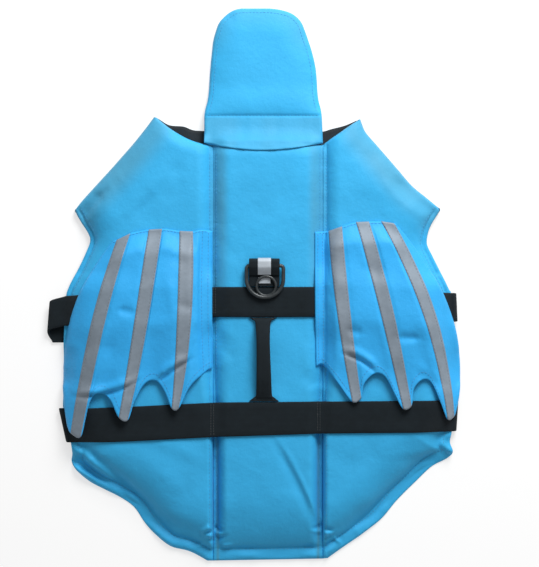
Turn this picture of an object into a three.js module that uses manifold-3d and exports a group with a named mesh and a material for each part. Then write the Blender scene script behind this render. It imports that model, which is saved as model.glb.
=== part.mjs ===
// Dog life jacket laid flat on a surface, back up, in millimetres.
// X runs to the right, Y runs towards the neck, Z is up and the surface is z = 0.
// The back is three foam padded panels. The chest flaps are folded under at the shoulders.
import * as THREE from 'three';
import Module from 'manifold-3d';
import { mergeVertices } from 'three/addons/utils/BufferGeometryUtils.js';

const wasm = await Module();
wasm.setup();

// Driving sizes.
const CLEAR = 0.3; // gap between pieces that touch
const SHELL = 1.5; // one layer of shell or lining cloth
const HEM = 3.0; // turned hem and seam allowance of a padded panel
const WEB = 2.0; // webbing of the belts
const WING = 2.4; // two layers of a wing
const TAPE = 1.0; // reflective tape with its backing
const SEAM_X = 55.0; // seams between the centre and side panels
const FOAM_CROWN = 10.0; // how far the foam lifts a back panel over its seams
const FOAM_SHOULDER = 34.0; // width of the foam's sloping edge
const FOAM_INSET = 5.0; // flat cloth between an edge and the foam
const SEAM_SHOULDER = 17.0; // the same beside the two seams
const SEAM_KEPT = 0.35; // share of the foam's height that is left at a seam
const TAIL_SHOULDER = 62.0; // the same at the tail end of the centre panel
const HEAD_CROWN = 9.0; // foam of the head float
const HEAD_SHOULDER = { inset: 1, width: 20 };
const TAIL_STITCH = 15; // stitch row above the tail hem
// Where a panel's columns stand between its two edges, closer beside the seams.
const SIDE_SHARES = [0, 0.035, 0.085, 0.15, 0.24, 0.35, 0.47, 0.59, 0.71, 0.81, 0.89, 0.95, 1];
const CENTRE_SHARES = [0, 0.06, 0.13, 0.22, 0.36, 0.5, 0.64, 0.78, 0.87, 0.94, 1];

// Each row of a side panel runs from the seam or neck edge (in) to the outer edge (out).
const LEFT_ROWS = [
  { inX: -111, inY: 167.5, outX: -115, outY: 169 },
  { inX: -98, inY: 157, outX: -124, outY: 157 },
  { inX: -81, inY: 147, outX: -136, outY: 142 },
  { inX: -66, inY: 142, outX: -147, outY: 129.5 },
  { inX: -SEAM_X, inY: 141, outX: -158, outY: 117 },
  { inX: -SEAM_X, inY: 128, outX: -169, outY: 105 },
  { inX: -SEAM_X, inY: 114, outX: -180, outY: 93 },
  { inX: -SEAM_X, inY: 100, outX: -188, outY: 84 },
  { inX: -SEAM_X, inY: 87, outX: -195, outY: 75 },
  { inX: -SEAM_X, inY: 74, outX: -188, outY: 63 },
  { inX: -SEAM_X, inY: 64, outX: -181, outY: 52 },
  { inX: -SEAM_X, inY: 55, outX: -179, outY: 44 },
  { inX: -SEAM_X, inY: 44, outX: -183, outY: 33 },
  { inX: -SEAM_X, inY: 31, outX: -190, outY: 18 },
  { inX: -SEAM_X, inY: 17, outX: -198, outY: 3 },
  { inX: -SEAM_X, inY: 6, outX: -201.5, outY: -5 },
  { inX: -SEAM_X, inY: -2, outX: -203, outY: -11 },
  { inX: -SEAM_X, inY: -17, outX: -204, outY: -26 },
  { inX: -SEAM_X, inY: -32, outX: -205, outY: -41 },
  { inX: -SEAM_X, inY: -44, outX: -205.5, outY: -54 },
  { inX: -SEAM_X, inY: -60, outX: -206, outY: -70 },
  { inX: -SEAM_X, inY: -76, outX: -206, outY: -86 },
  { inX: -SEAM_X, inY: -92, outX: -206, outY: -100 },
  { inX: -SEAM_X, inY: -105, outX: -206, outY: -112 },
  { inX: -SEAM_X, inY: -117, outX: -206, outY: -124 },
  { inX: -SEAM_X, inY: -134, outX: -202, outY: -141 },
  { inX: -SEAM_X, inY: -151, outX: -198.5, outY: -158 },
  { inX: -SEAM_X, inY: -163, outX: -197, outY: -169 },
  { inX: -SEAM_X, inY: -175, outX: -198, outY: -178 },
  { inX: -SEAM_X, inY: -187, outX: -193, outY: -187 },
  { inX: -SEAM_X, inY: -198, outX: -180, outY: -198 },
  { inX: -SEAM_X, inY: -209, outX: -165, outY: -206 },
  { inX: -SEAM_X, inY: -220, outX: -149, outY: -214 },
  { inX: -SEAM_X, inY: -231, outX: -135, outY: -224 },
  { inX: -SEAM_X, inY: -242, outX: -124, outY: -240 },
  { inX: -SEAM_X, inY: -253, outX: -113, outY: -252 },
  { inX: -SEAM_X, inY: -262, outX: -98, outY: -263.5 },
  { inX: -SEAM_X, inY: -270, outX: -79, outY: -268.5 },
  { inX: -SEAM_X, inY: -278, outX: -61, outY: -278 },
];
const RIGHT_ROWS = [
  { inX: 89.5, inY: 165, outX: 93, outY: 167 },
  { inX: 84, inY: 161.5, outX: 95.5, outY: 160 },
  { inX: 74, inY: 154.5, outX: 99, outY: 153 },
  { inX: 64, inY: 147.5, outX: 109, outY: 141.5 },
  { inX: SEAM_X, inY: 141, outX: 119, outY: 130 },
  { inX: SEAM_X, inY: 129, outX: 132, outY: 115 },
  { inX: SEAM_X, inY: 116, outX: 145, outY: 100 },
  { inX: SEAM_X, inY: 102, outX: 159.5, outY: 88 },
  { inX: SEAM_X, inY: 88, outX: 174, outY: 76 },
  { inX: SEAM_X, inY: 75, outX: 165, outY: 62 },
  { inX: SEAM_X, inY: 65, outX: 161, outY: 52 },
  { inX: SEAM_X, inY: 55, outX: 160, outY: 41 },
  { inX: SEAM_X, inY: 44, outX: 165, outY: 30 },
  { inX: SEAM_X, inY: 31, outX: 172, outY: 16 },
  { inX: SEAM_X, inY: 17, outX: 179, outY: 2 },
  { inX: SEAM_X, inY: 6, outX: 182, outY: -4.5 },
  { inX: SEAM_X, inY: -2, outX: 184, outY: -8 },
  { inX: SEAM_X, inY: -17, outX: 184.5, outY: -22 },
  { inX: SEAM_X, inY: -32, outX: 185, outY: -37 },
  { inX: SEAM_X, inY: -44, outX: 185, outY: -49 },
  { inX: SEAM_X, inY: -60, outX: 186, outY: -65 },
  { inX: SEAM_X, inY: -76, outX: 186.5, outY: -80 },
  { inX: SEAM_X, inY: -92, outX: 187, outY: -93 },
  { inX: SEAM_X, inY: -104, outX: 187, outY: -104 },
  { inX: SEAM_X, inY: -116, outX: 187, outY: -115 },
  { inX: SEAM_X, inY: -132, outX: 186, outY: -131 },
  { inX: SEAM_X, inY: -148, outX: 185, outY: -147 },
  { inX: SEAM_X, inY: -160, outX: 183, outY: -158 },
  { inX: SEAM_X, inY: -172, outX: 186, outY: -168 },
  { inX: SEAM_X, inY: -184, outX: 180, outY: -175 },
  { inX: SEAM_X, inY: -196, outX: 165, outY: -183 },
  { inX: SEAM_X, inY: -208, outX: 149, outY: -198 },
  { inX: SEAM_X, inY: -220, outX: 130, outY: -217 },
  { inX: SEAM_X, inY: -231, outX: 115, outY: -235 },
  { inX: SEAM_X, inY: -242, outX: 99, outY: -248 },
  { inX: SEAM_X, inY: -253, outX: 88, outY: -256 },
  { inX: SEAM_X, inY: -262, outX: 79, outY: -262 },
  { inX: SEAM_X, inY: -269.5, outX: 69, outY: -269 },
  { inX: SEAM_X, inY: -276, outX: 60, outY: -275.5 },
];
// Rows of those tables where the seams start and where the belts have their two edges.
const SEAM_ROW = 4;
const UPPER_BELT_ROWS = [16, 17, 18];
const LOWER_BELT_ROWS = [24, 25, 26];

// What lies under the back, as bands along Y, each with the height that it takes up.
const UNDER_BANDS = [
  { name: 'chest flaps', from: 2, to: 190, lift: 2 * (SHELL + CLEAR), ramp: 14 },
  { name: 'upper belt', from: -71, to: 20, lift: 2 * (WEB + CLEAR), ramp: 12 },
  { name: 'lower belt', from: -177, to: -92, lift: 2 * (WEB + CLEAR), ramp: 12 },
];
const CHEST_LAP = { halfWidth: 42, ramp: 12.8, lift: 2 * (SHELL + CLEAR) };
const FOAM_BASE = 4 * (SHELL + CLEAR); // level over the lapped flaps, kept by all the foam

// The largest folds, as troughs (negative depth) and ridges from one point to another.
const FOLDS = [
  { x0: -190, y0: 68, x1: -163, y1: 96, halfWidth: 9, depth: -2.2 },
  { x0: 122, y0: 108, x1: 167, y1: 66, halfWidth: 9, depth: -2.6 },
  { x0: -159, y0: 99, x1: -84, y1: 124, halfWidth: 10, depth: 1.4 },
  { x0: -186, y0: -160, x1: -128, y1: -206, halfWidth: 7, depth: -2.4 },
  { x0: -192, y0: -166, x1: -143, y1: -196, halfWidth: 6, depth: 2.2 },
  { x0: -136, y0: -203, x1: -72, y1: -246, halfWidth: 12, depth: -3.0 },
  { x0: 70, y0: -246, x1: 172, y1: -172, halfWidth: 12, depth: -2.8 },
  { x0: 9, y0: -155, x1: 52, y1: -240, halfWidth: 10, depth: -1.8 },
  { x0: -52, y0: -40, x1: -38, y1: -76, halfWidth: 9, depth: -1.6 },
];

// The head float flap: both edges at each Y, and how far the row bows towards the tail.
const FLAP_ROWS = [
  { y: 142, left: -64, right: 55, bow: 8 },
  { y: 150, left: -64, right: 54.8, bow: 5.5 },
  { y: 158, left: -64, right: 54.5, bow: 3 },
  { y: 164, left: -64, right: 54.3, bow: 1.5 },
  { y: 170, left: -64, right: 54, bow: 0 },
  { y: 177, left: -63, right: 53, bow: 0 },
  { y: 185, left: -61, right: 51, bow: 0 },
  { y: 195, left: -59.7, right: 49.8, bow: 0 },
  { y: 207, left: -59, right: 49.2, bow: 0 },
  { y: 220, left: -58, right: 47.8, bow: 0 },
  { y: 234, left: -56.6, right: 44.6, bow: 0 },
  { y: 246, left: -55.2, right: 40.8, bow: 0 },
  { y: 256, left: -52.5, right: 37.3, bow: 0 },
  { y: 264, left: -49.5, right: 34, bow: 0 },
  { y: 270, left: -44.5, right: 29, bow: 0 },
  { y: 274.5, left: -39, right: 22, bow: 0 },
  { y: 277.5, left: -33, right: 12, bow: 0 },
  { y: 278.8, left: -27, right: 2, bow: 0 },
];
const FLAP_STITCH_Y = 170;
const FLAP_SHARES = [0, 0.07, 0.17, 0.29, 0.4, 0.5, 0.6, 0.71, 0.83, 0.93, 1];

// Neck and leg edges of the chest flaps, from the folded edge to the lap at the middle.
const CHEST_LEFT = [
  { neckX: -113, neckY: 167.5, legX: -193, legY: 75 },
  { neckX: -101, neckY: 161, legX: -178, legY: 61 },
  { neckX: -86, neckY: 159, legX: -158, legY: 49 },
  { neckX: -76, neckY: 156, legX: -130, legY: 38 },
  { neckX: -65, neckY: 155, legX: -95, legY: 29 },
  { neckX: -30, neckY: 153, legX: -45, legY: 23 },
  { neckX: 22, neckY: 151, legX: 22, legY: 21 },
];
const CHEST_RIGHT = [
  { neckX: 91.5, neckY: 165.5, legX: 172, legY: 76 },
  { neckX: 79, neckY: 160, legX: 158, legY: 62 },
  { neckX: 65, neckY: 157, legX: 140, legY: 50 },
  { neckX: 56, neckY: 154.5, legX: 112, legY: 38 },
  { neckX: 46, neckY: 154, legX: 56, legY: 27 },
  { neckX: 26, neckY: 153, legX: 28, legY: 22 },
  { neckX: 0, neckY: 152, legX: 0, legY: 20.5 },
  { neckX: -26, neckY: 151, legX: -26, legY: 20 },
];
const CHEST_STEPS = 6;
const CHEST_FOLD_SAG = { left: 1, right: 7 };

// Columns of the wings, inner to outer: top edge, half way down, and free lower edge.
const WING_LEFT = [
  { topX: -55.5, topY: 54, midX: -55.5, midY: -15, lowX: -55.5, lowY: -83 },
  { topX: -65, topY: 55, midX: -66, midY: -18, lowX: -64, lowY: -88 },
  { topX: -70, topY: 54.5, midX: -71, midY: -25, lowX: -78, lowY: -102 },
  { topX: -74.7, topY: 53.5, midX: -76, midY: -37, lowX: -88.5, lowY: -122.5 },
  { topX: -88, topY: 54, midX: -90, midY: -37, lowX: -95.5, lowY: -122.5 },
  { topX: -94, topY: 55, midX: -98, midY: -28, lowX: -102, lowY: -107 },
  { topX: -99.5, topY: 55.7, midX: -106, midY: -22, lowX: -111, lowY: -95.5 },
  { topX: -102.5, topY: 56, midX: -112.5, midY: -24, lowX: -122, lowY: -98 },
  { topX: -104, topY: 56, midX: -116.5, midY: -31, lowX: -132, lowY: -115 },
  { topX: -105.3, topY: 56, midX: -119.3, midY: -40, lowX: -138.8, lowY: -134 },
  { topX: -118.7, topY: 55.3, midX: -132.7, midY: -40, lowX: -147.8, lowY: -131.5 },
  { topX: -121, topY: 55, midX: -137, midY: -31, lowX: -156, lowY: -115 },
  { topX: -126, topY: 54, midX: -144, midY: -27, lowX: -165, lowY: -108 },
  { topX: -131, topY: 53, midX: -151.5, midY: -30, lowX: -174, lowY: -111 },
  { topX: -134.5, topY: 52.3, midX: -158, midY: -37, lowX: -180, lowY: -127 },
  { topX: -137, topY: 51.5, midX: -163.3, midY: -46, lowX: -186, lowY: -151 },
  { topX: -150.5, topY: 45, midX: -176.7, midY: -43.5, lowX: -197, lowY: -148 },
  { topX: -156, topY: 42, midX: -192, midY: -33, lowX: -202, lowY: -138 },
];
const WING_RIGHT = [
  { topX: 46.6, topY: 53, midX: 46.6, midY: -14, lowX: 48, lowY: -81 },
  { topX: 54.5, topY: 53.5, midX: 55, midY: -14, lowX: 55.5, lowY: -81 },
  { topX: 57.5, topY: 53.8, midX: 61.5, midY: -17, lowX: 69, lowY: -97 },
  { topX: 60.5, topY: 54, midX: 67.3, midY: -20, lowX: 83.5, lowY: -116 },
  { topX: 73.7, topY: 58.5, midX: 80.7, midY: -19.5, lowX: 92.5, lowY: -112 },
  { topX: 77, topY: 59.5, midX: 86, midY: -17, lowX: 95.5, lowY: -98 },
  { topX: 81, topY: 61, midX: 93, midY: -14, lowX: 106, lowY: -88 },
  { topX: 84.5, topY: 62, midX: 101, midY: -16, lowX: 116, lowY: -91 },
  { topX: 86, topY: 62.5, midX: 106, midY: -21, lowX: 126, lowY: -109 },
  { topX: 87.5, topY: 62.8, midX: 111, midY: -27, lowX: 134, lowY: -123 },
  { topX: 100.5, topY: 63.3, midX: 124, midY: -26, lowX: 142.5, lowY: -120 },
  { topX: 103, topY: 63.4, midX: 128, midY: -21, lowX: 145, lowY: -103 },
  { topX: 107, topY: 63.4, midX: 134, midY: -17, lowX: 154, lowY: -94 },
  { topX: 110, topY: 63.4, midX: 140, midY: -19, lowX: 163, lowY: -98 },
  { topX: 111.5, topY: 63.4, midX: 147.5, midY: -25, lowX: 172, lowY: -118 },
  { topX: 112.5, topY: 63.5, midX: 155.3, midY: -35, lowX: 179, lowY: -134 },
  { topX: 125.5, topY: 61.5, midX: 168.7, midY: -35, lowX: 186.5, lowY: -132 },
  { topX: 128, topY: 60, midX: 184, midY: -30, lowX: 190, lowY: -121 },
];
const WING_STEPS = 13;
const WING_PUFF = 5.5;
// Which wing column each tape starts at, inner to outer.
const TAPE_COLUMNS = { inner: 3, middle: 9, outer: 15 };

// Each belt bends under at both sides, and its two ends are lapped beneath the middle.
const BELT_BEND_STEPS = 6;
const BELT_LAP = { left: 40, right: -22, rampFrom: 62, ramp: 14 };
const LEFT_UNDER = [-185, -120, -60, 0, BELT_LAP.left];
const RIGHT_UNDER = [165, 110, BELT_LAP.rampFrom, 52, 46, 10, BELT_LAP.right];

// Grab handle between the belts, folded narrower in the middle, with a finger gap under it.
const HANDLE_ROWS = [
  { y: -32.6, halfWidth: 14, rise: 0.0 },
  { y: -34.5, halfWidth: 10.5, rise: 0.2 },
  { y: -37, halfWidth: 7.6, rise: 1.6 },
  { y: -46, halfWidth: 7.0, rise: 6.0 },
  { y: -57, halfWidth: 6.7, rise: 8.6 },
  { y: -68, halfWidth: 6.8, rise: 9.3 },
  { y: -81, halfWidth: 7.1, rise: 9.1 },
  { y: -94, halfWidth: 7.4, rise: 7.2 },
  { y: -104, halfWidth: 7.7, rise: 3.8 },
  { y: -110, halfWidth: 8.0, rise: 1.2 },
  { y: -112.5, halfWidth: 11, rise: 0.2 },
  { y: -115.5, halfWidth: 15, rise: 0.0 },
];
const HANDLE_X = -4.5;
const HANDLE_THICK = 2.6;

// Leash ring: a D of round bar with a round eye, held by a tab of webbing.
const RING = { x: -3, barY: 19.2, halfWidth: 18.3, bar: 1.9, side: 13.2 };
const EYE = { x: -1.8, y: -0.9, radius: 9.6, bar: 1.3 };
const RING_SIDES = 8;
// Side view of the tab, from the ring's bar: its fold, where its upper layer turns down, its end.
const TAB = { x: -3.6, halfWidth: 15.2, foldY: 3.3, turnY: -0.6, endY: -20.8, web: 1.6, play: 0.4 };
const TAB_TURN = Math.PI * 0.62;
const TAB_LANDING = { y: -8.6, length: 1.6 }; // where the slope meets the tail
const STRIPE = { halfWidth: 6.5, from: Math.PI * 0.15, slope: 6.4 };

const BLUE = { color: '#3aa9dc', roughness: 0.62, metalness: 0.0 };
const AZURE = { color: '#2f9fe6', roughness: 0.55, metalness: 0.0 };
const BLACK = { color: '#20272b', roughness: 0.8, metalness: 0.0 };
const GREY = { color: '#808a94', roughness: 0.45, metalness: 0.1 };
const SILVER = { color: '#a9b1b8', roughness: 0.35, metalness: 0.2 };
const STEEL = { color: '#3c4449', roughness: 0.35, metalness: 0.6 };

const smooth = (t) => {
  const s = Math.min(1, Math.max(0, t));
  return s * s * (3 - 2 * s);
};
const lerp = (a, b, t) => a + (b - a) * t;

function distanceToSegment(x, y, x0, y0, x1, y1) {
  const dx = x1 - x0;
  const dy = y1 - y0;
  const t = Math.min(1, Math.max(0, ((x - x0) * dx + (y - y0) * dy) / (dx * dx + dy * dy)));
  return { distance: Math.hypot(x - x0 - t * dx, y - y0 - t * dy), along: t };
}

function distanceToLine(x, y, line) {
  let nearest = Infinity;
  line.slice(1).forEach((q, i) => {
    const p = line[i];
    nearest = Math.min(nearest, distanceToSegment(x, y, p[0], p[1], q[0], q[1]).distance);
  });
  return nearest;
}

// Height of the surface that the back lies on at a point: the layers folded under it.
function underHeight(x, y) {
  let height = 0;
  UNDER_BANDS.forEach((band) => {
    const inside = smooth((y - band.from) / band.ramp) * smooth((band.to - y) / band.ramp);
    height = Math.max(height, band.lift * inside);
  });
  const lap = smooth((CHEST_LAP.halfWidth + CHEST_LAP.ramp - Math.abs(x)) / CHEST_LAP.ramp);
  const chest = UNDER_BANDS[0];
  return height + CHEST_LAP.lift * lap * smooth((y - chest.from) / chest.ramp);
}

function foldHeight(x, y) {
  let height = 0;
  FOLDS.forEach((f) => {
    const { distance, along } = distanceToSegment(x, y, f.x0, f.y0, f.x1, f.y1);
    const ends = smooth(along / 0.25) * smooth((1 - along) / 0.25);
    height += f.depth * (0.35 + 0.65 * ends) * Math.exp(-((distance / f.halfWidth) ** 2));
  });
  return height;
}

// A grid of [x, y, z] points: rows down the piece, columns at given shares of its width.
const gridFromRows = (rows, shares, height) =>
  rows.map((r) =>
    shares.map((t) => {
      const x = lerp(r.inX, r.outX, t);
      const y = lerp(r.inY, r.outY, t) - (r.bow ?? 0) * 4 * t * (1 - t);
      return [x, y, height(x, y)];
    }));

const mapGrid = (grid, change) => grid.map((row, j) => row.map((p, i) => change(p, i, j)));
const raise = (grid, by) => mapGrid(grid, (p) => [p[0], p[1], p[2] + by]);

function ringOutline(grid) {
  const last = grid.length - 1;
  const right = grid[0].length - 1;
  const outline = [...grid[0]];
  for (let j = 1; j <= last; j += 1) outline.push(grid[j][right]);
  for (let i = right - 1; i >= 0; i -= 1) outline.push(grid[last][i]);
  for (let j = last - 1; j >= 0; j -= 1) outline.push(grid[j][0]);
  return outline;
}

function signedVolume(position, index) {
  let volume = 0;
  const a = new THREE.Vector3();
  const b = new THREE.Vector3();
  const c = new THREE.Vector3();
  for (let k = 0; k < index.length; k += 3) {
    a.fromArray(position, index[k] * 3);
    b.fromArray(position, index[k + 1] * 3);
    c.fromArray(position, index[k + 2] * 3);
    volume += a.dot(b.cross(c)) / 6;
  }
  return volume;
}

// A closed solid between two grids of the same layout.
function slab(lower, upper) {
  const rows = lower.length;
  const columns = lower[0].length;
  const position = [...upper.flat(2), ...lower.flat(2)];
  const top = (j, i) => j * columns + i;
  const low = (j, i) => rows * columns + j * columns + i;
  const index = [];
  const quad = (a, b, c, d) => index.push(a, b, c, a, c, d);
  for (let j = 0; j < rows - 1; j += 1) {
    for (let i = 0; i < columns - 1; i += 1) {
      quad(top(j, i), top(j + 1, i), top(j + 1, i + 1), top(j, i + 1));
      quad(low(j, i), low(j, i + 1), low(j + 1, i + 1), low(j + 1, i));
    }
  }
  const wall = (j0, i0, j1, i1) => quad(top(j0, i0), top(j1, i1), low(j1, i1), low(j0, i0));
  for (let i = 0; i < columns - 1; i += 1) {
    wall(0, i, 0, i + 1);
    wall(rows - 1, i + 1, rows - 1, i);
  }
  for (let j = 0; j < rows - 1; j += 1) {
    wall(j + 1, 0, j, 0);
    wall(j, columns - 1, j + 1, columns - 1);
  }
  if (signedVolume(position, index) < 0) index.reverse();
  const geometry = new THREE.BufferGeometry();
  geometry.setAttribute('position', new THREE.Float32BufferAttribute(position, 3));
  geometry.setIndex(index);
  return geometry;
}

// The height of a triangulated grid above a point, or nothing where it isn't there.
function heightAt(grid, x, y) {
  let best = -Infinity;
  const test = (a, b, c) => {
    const area = (b[0] - a[0]) * (c[1] - a[1]) - (c[0] - a[0]) * (b[1] - a[1]);
    if (Math.abs(area) < 1e-9) return;
    const u = ((x - a[0]) * (c[1] - a[1]) - (c[0] - a[0]) * (y - a[1])) / area;
    const v = ((b[0] - a[0]) * (y - a[1]) - (x - a[0]) * (b[1] - a[1])) / area;
    if (u < -1e-6 || v < -1e-6 || u + v > 1 + 1e-6) return;
    best = Math.max(best, a[2] + u * (b[2] - a[2]) + v * (c[2] - a[2]));
  };
  for (let j = 0; j < grid.length - 1; j += 1) {
    for (let i = 0; i < grid[j].length - 1; i += 1) {
      test(grid[j][i], grid[j + 1][i], grid[j + 1][i + 1]);
      test(grid[j][i], grid[j + 1][i + 1], grid[j][i + 1]);
    }
  }
  return best;
}

const supportAt = (grids, x, y) => Math.max(...grids.map((g) => heightAt(g, x, y)));

// Raises a grid until its cells clear what is below them by the gap.
function settle(grid, below, gap) {
  const settled = mapGrid(grid, (p) => [...p]);
  const shares = [0, 0.25, 0.5, 0.75, 1];
  const corners = (s, t) => (t > s ? [1 - t, 0, t - s, s] : [1 - s, s - t, 0, t]);
  for (let pass = 0; pass < 3; pass += 1) {
    for (let j = 0; j < settled.length - 1; j += 1) {
      for (let i = 0; i < settled[j].length - 1; i += 1) {
        const cell = [settled[j][i], settled[j][i + 1], settled[j + 1][i], settled[j + 1][i + 1]];
        let short = 0;
        shares.forEach((s) => shares.forEach((t) => {
          const weight = corners(s, t);
          const at = (k) => weight.reduce((sum, w, n) => sum + w * cell[n][k], 0);
          short = Math.max(short, supportAt(below, at(0), at(1)) + gap - at(2));
        }));
        cell.forEach((p) => { p[2] += short; });
      }
    }
  }
  return settled;
}

const material = (look) => new THREE.MeshStandardMaterial({ ...look, side: THREE.FrontSide });
const jacket = new THREE.Group();

function addPiece(name, geometry, look) {
  const mesh = new THREE.Mesh(geometry, material(look));
  mesh.name = name;
  jacket.add(mesh);
  return mesh;
}

// How much of the foam's height there is at a point, from its distance to the seams and hems.
function foamShare(x, y, hem, tailY) {
  const seam = smooth((Math.abs(Math.abs(x) - SEAM_X) - 2) / SEAM_SHOULDER);
  const edge = smooth((distanceToLine(x, y, hem) - FOAM_INSET) / FOAM_SHOULDER);
  const tail = smooth((y - tailY) / TAIL_SHOULDER);
  return lerp(SEAM_KEPT, 1, seam) * edge * tail;
}

// A padded panel: flat hem and seam allowance, foam in the middle, folds on top.
function paddedPanel(rows, shares, crown, hem, tailY) {
  const lower = gridFromRows(rows, shares, underHeight);
  const upper = mapGrid(lower, ([x, y, z]) => {
    const foam = foamShare(x, y, hem, tailY);
    const level = lerp(z, FOAM_BASE, foam);
    const fold = foldHeight(x, y) * smooth((distanceToLine(x, y, hem) + 6) / 12);
    return [x, y, Math.max(z + SHELL, level + HEM + crown * foam + fold)];
  });
  return { lower, upper };
}

// Both side panels run from left to right, so that a belt's points follow on from one to the next.
const leftRows = LEFT_ROWS.map((r) => ({
  inX: r.outX, inY: r.outY, outX: r.inX - CLEAR / 2, outY: r.inY,
}));
const rightRows = RIGHT_ROWS.map((r) => ({ ...r, inX: r.inX + CLEAR / 2 }));
// The edges of a side panel that aren't sewn to the centre panel.
const sideHem = (rows) => [
  ...rows.slice(0, SEAM_ROW + 1).map((r) => [r.inX, r.inY]).reverse(),
  ...rows.map((r) => [r.outX, r.outY]),
  [rows.at(-1).inX, rows.at(-1).inY],
];
const NO_TAIL = -Infinity;
const leftShares = SIDE_SHARES.map((t) => 1 - t).reverse();
const leftPanel = paddedPanel(leftRows, leftShares, FOAM_CROWN, sideHem(LEFT_ROWS), NO_TAIL);
const rightPanel = paddedPanel(rightRows, SIDE_SHARES, FOAM_CROWN, sideHem(RIGHT_ROWS), NO_TAIL);
const centreRows = LEFT_ROWS.slice(SEAM_ROW).map((left, k) => {
  const right = RIGHT_ROWS[SEAM_ROW + k];
  return {
    inX: left.inX + CLEAR / 2,
    inY: left.inY,
    outX: right.inX - CLEAR / 2,
    outY: right.inY,
  };
});
const [neckRow, tailRow] = [centreRows[0], centreRows.at(-1)];
const neckHem = [[neckRow.inX, neckRow.inY], [neckRow.outX, neckRow.outY]];
const centrePanel = paddedPanel(
  centreRows,
  CENTRE_SHARES,
  FOAM_CROWN + 1,
  neckHem,
  tailRow.inY + TAIL_STITCH,
);
addPiece('center_panel', slab(centrePanel.lower, centrePanel.upper), BLUE);
addPiece('side_panel_left', slab(leftPanel.lower, leftPanel.upper), BLUE);
addPiece('side_panel_right', slab(rightPanel.lower, rightPanel.upper), BLUE);

// Chest flaps folded under the back, shell on the outside and black lining facing up.
function chestGrid(edges, sag, height) {
  const grid = [];
  for (let j = 0; j <= CHEST_STEPS; j += 1) {
    const t = j / CHEST_STEPS;
    grid.push(edges.map((e, i) => {
      const pull = sag * 4 * t * (1 - t) * (1 - i / (edges.length - 1));
      const x = lerp(e.neckX, e.legX, t) - Math.sign(e.legX - e.neckX || 1) * pull * 0.7;
      const y = lerp(e.neckY, e.legY, t) - pull * 0.7;
      return [x, y, height(x)];
    }));
  }
  return grid;
}

const LAP_STEP = 2 * (SHELL + CLEAR);
const lapHeight = (x) => LAP_STEP * smooth((46 - x) / 18);

function addChest(side, edges, sag, height) {
  const shell = chestGrid(edges, sag, height);
  addPiece(`chest_flap_${side}`, slab(shell, raise(shell, SHELL)), BLUE);
  const inset = shell.map((row) => [
    [lerp(row[0][0], row[1][0], 0.2), lerp(row[0][1], row[1][1], 0.2), row[0][2]],
    ...row.slice(1),
  ]);
  const lining = raise(inset, SHELL + CLEAR);
  addPiece(`chest_lining_${side}`, slab(lining, raise(lining, SHELL)), BLACK);
  return raise(lining, SHELL);
}

const liningLeft = addChest('left', CHEST_LEFT, CHEST_FOLD_SAG.left, () => 0);
const liningRight = addChest('right', CHEST_RIGHT, CHEST_FOLD_SAG.right, lapHeight);

// Head float flap: its hem lies on the neck edge, its head lies on the surface.
function addHeadFlap() {
  const rows = FLAP_ROWS.map((r) => ({
    inX: r.left, inY: r.y, outX: r.right, outY: r.y, bow: r.bow,
  }));
  const flat = gridFromRows(rows, FLAP_SHARES, (x, y) => 9 * smooth((186 - y) / 34));
  const lower = settle(flat, [centrePanel.upper, liningLeft, liningRight], CLEAR);
  const head = ringOutline(flat.filter((row, j) => FLAP_ROWS[j].y >= FLAP_STITCH_Y));
  const upper = mapGrid(lower, ([x, y, z]) => {
    const inside = (distanceToLine(x, y, head) - HEAD_SHOULDER.inset) / HEAD_SHOULDER.width;
    const inner = y > FLAP_STITCH_Y ? smooth(inside) : 0;
    return [x, y, z + HEM + HEAD_CROWN * inner];
  });
  addPiece('head_float_flap', slab(lower, upper), BLUE);
}
addHeadFlap();

// A belt is one webbing: top run on the panels, a bend at each side, lapped beneath.
function beltRow(j, base) {
  const left = leftPanel.upper[j].slice(0, -1);
  const right = rightPanel.upper[j].slice(1);
  return [...left, ...centrePanel.upper[j - SEAM_ROW], ...right].map((p) => ({
    inner: [p[0], p[1], p[2] + base],
    outer: [p[0], p[1], p[2] + base + WEB],
  }));
}

// The bend at a belt's end, from the top run down to the run beneath.
function beltBend(end, reach, shear, sign) {
  const [x, y, z] = end.inner;
  const radius = (z - WEB) / 2;
  const middle = WEB + radius;
  const steps = [];
  for (let k = 1; k <= BELT_BEND_STEPS; k += 1) {
    const angle = (Math.PI * k) / BELT_BEND_STEPS;
    const out = reach + radius * Math.sin(angle);
    const up = Math.cos(angle);
    const side = y - shear * (k / BELT_BEND_STEPS);
    steps.push({
      inner: [x + sign * out, side, middle + radius * up],
      outer: [x + sign * (out + WEB * Math.sin(angle)), side, middle + (radius + WEB) * up],
    });
  }
  return steps;
}

function beltUnder(y, stations, height) {
  return stations.map((x) => {
    const base = height(x);
    return { inner: [x, y, base + WEB], outer: [x, y, base] };
  });
}

const lapRise = (x) => (WEB + CLEAR) * smooth((BELT_LAP.rampFrom - x) / BELT_LAP.ramp);

function addBelt(name, panelRows, ends) {
  const rows = panelRows.map((j) => {
    const top = beltRow(j, CLEAR);
    const first = top[0];
    const last = top[top.length - 1];
    const leftBend = beltBend(first, ends.leftReach, ends.leftShear, -1);
    const rightBend = beltBend(last, ends.rightReach, 0, 1);
    const leftY = first.inner[1] - ends.leftShear;
    const under = beltUnder(leftY, LEFT_UNDER, () => 0);
    const lapped = beltUnder(last.inner[1], RIGHT_UNDER, lapRise);
    return [...under.reverse(), ...leftBend.reverse(), ...top, ...rightBend, ...lapped];
  });
  const inner = rows.map((row) => row.map((s) => s.inner));
  const outer = rows.map((row) => row.map((s) => s.outer));
  addPiece(name, slab(inner, outer), BLACK);
  return outer;
}

const upperBelt = addBelt('upper_belt', UPPER_BELT_ROWS, { leftReach: 12, leftShear: 17, rightReach: 0.6 });
const lowerBelt = addBelt('lower_belt', LOWER_BELT_ROWS, { leftReach: 0.6, leftShear: 0, rightReach: 0.6 });

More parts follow.
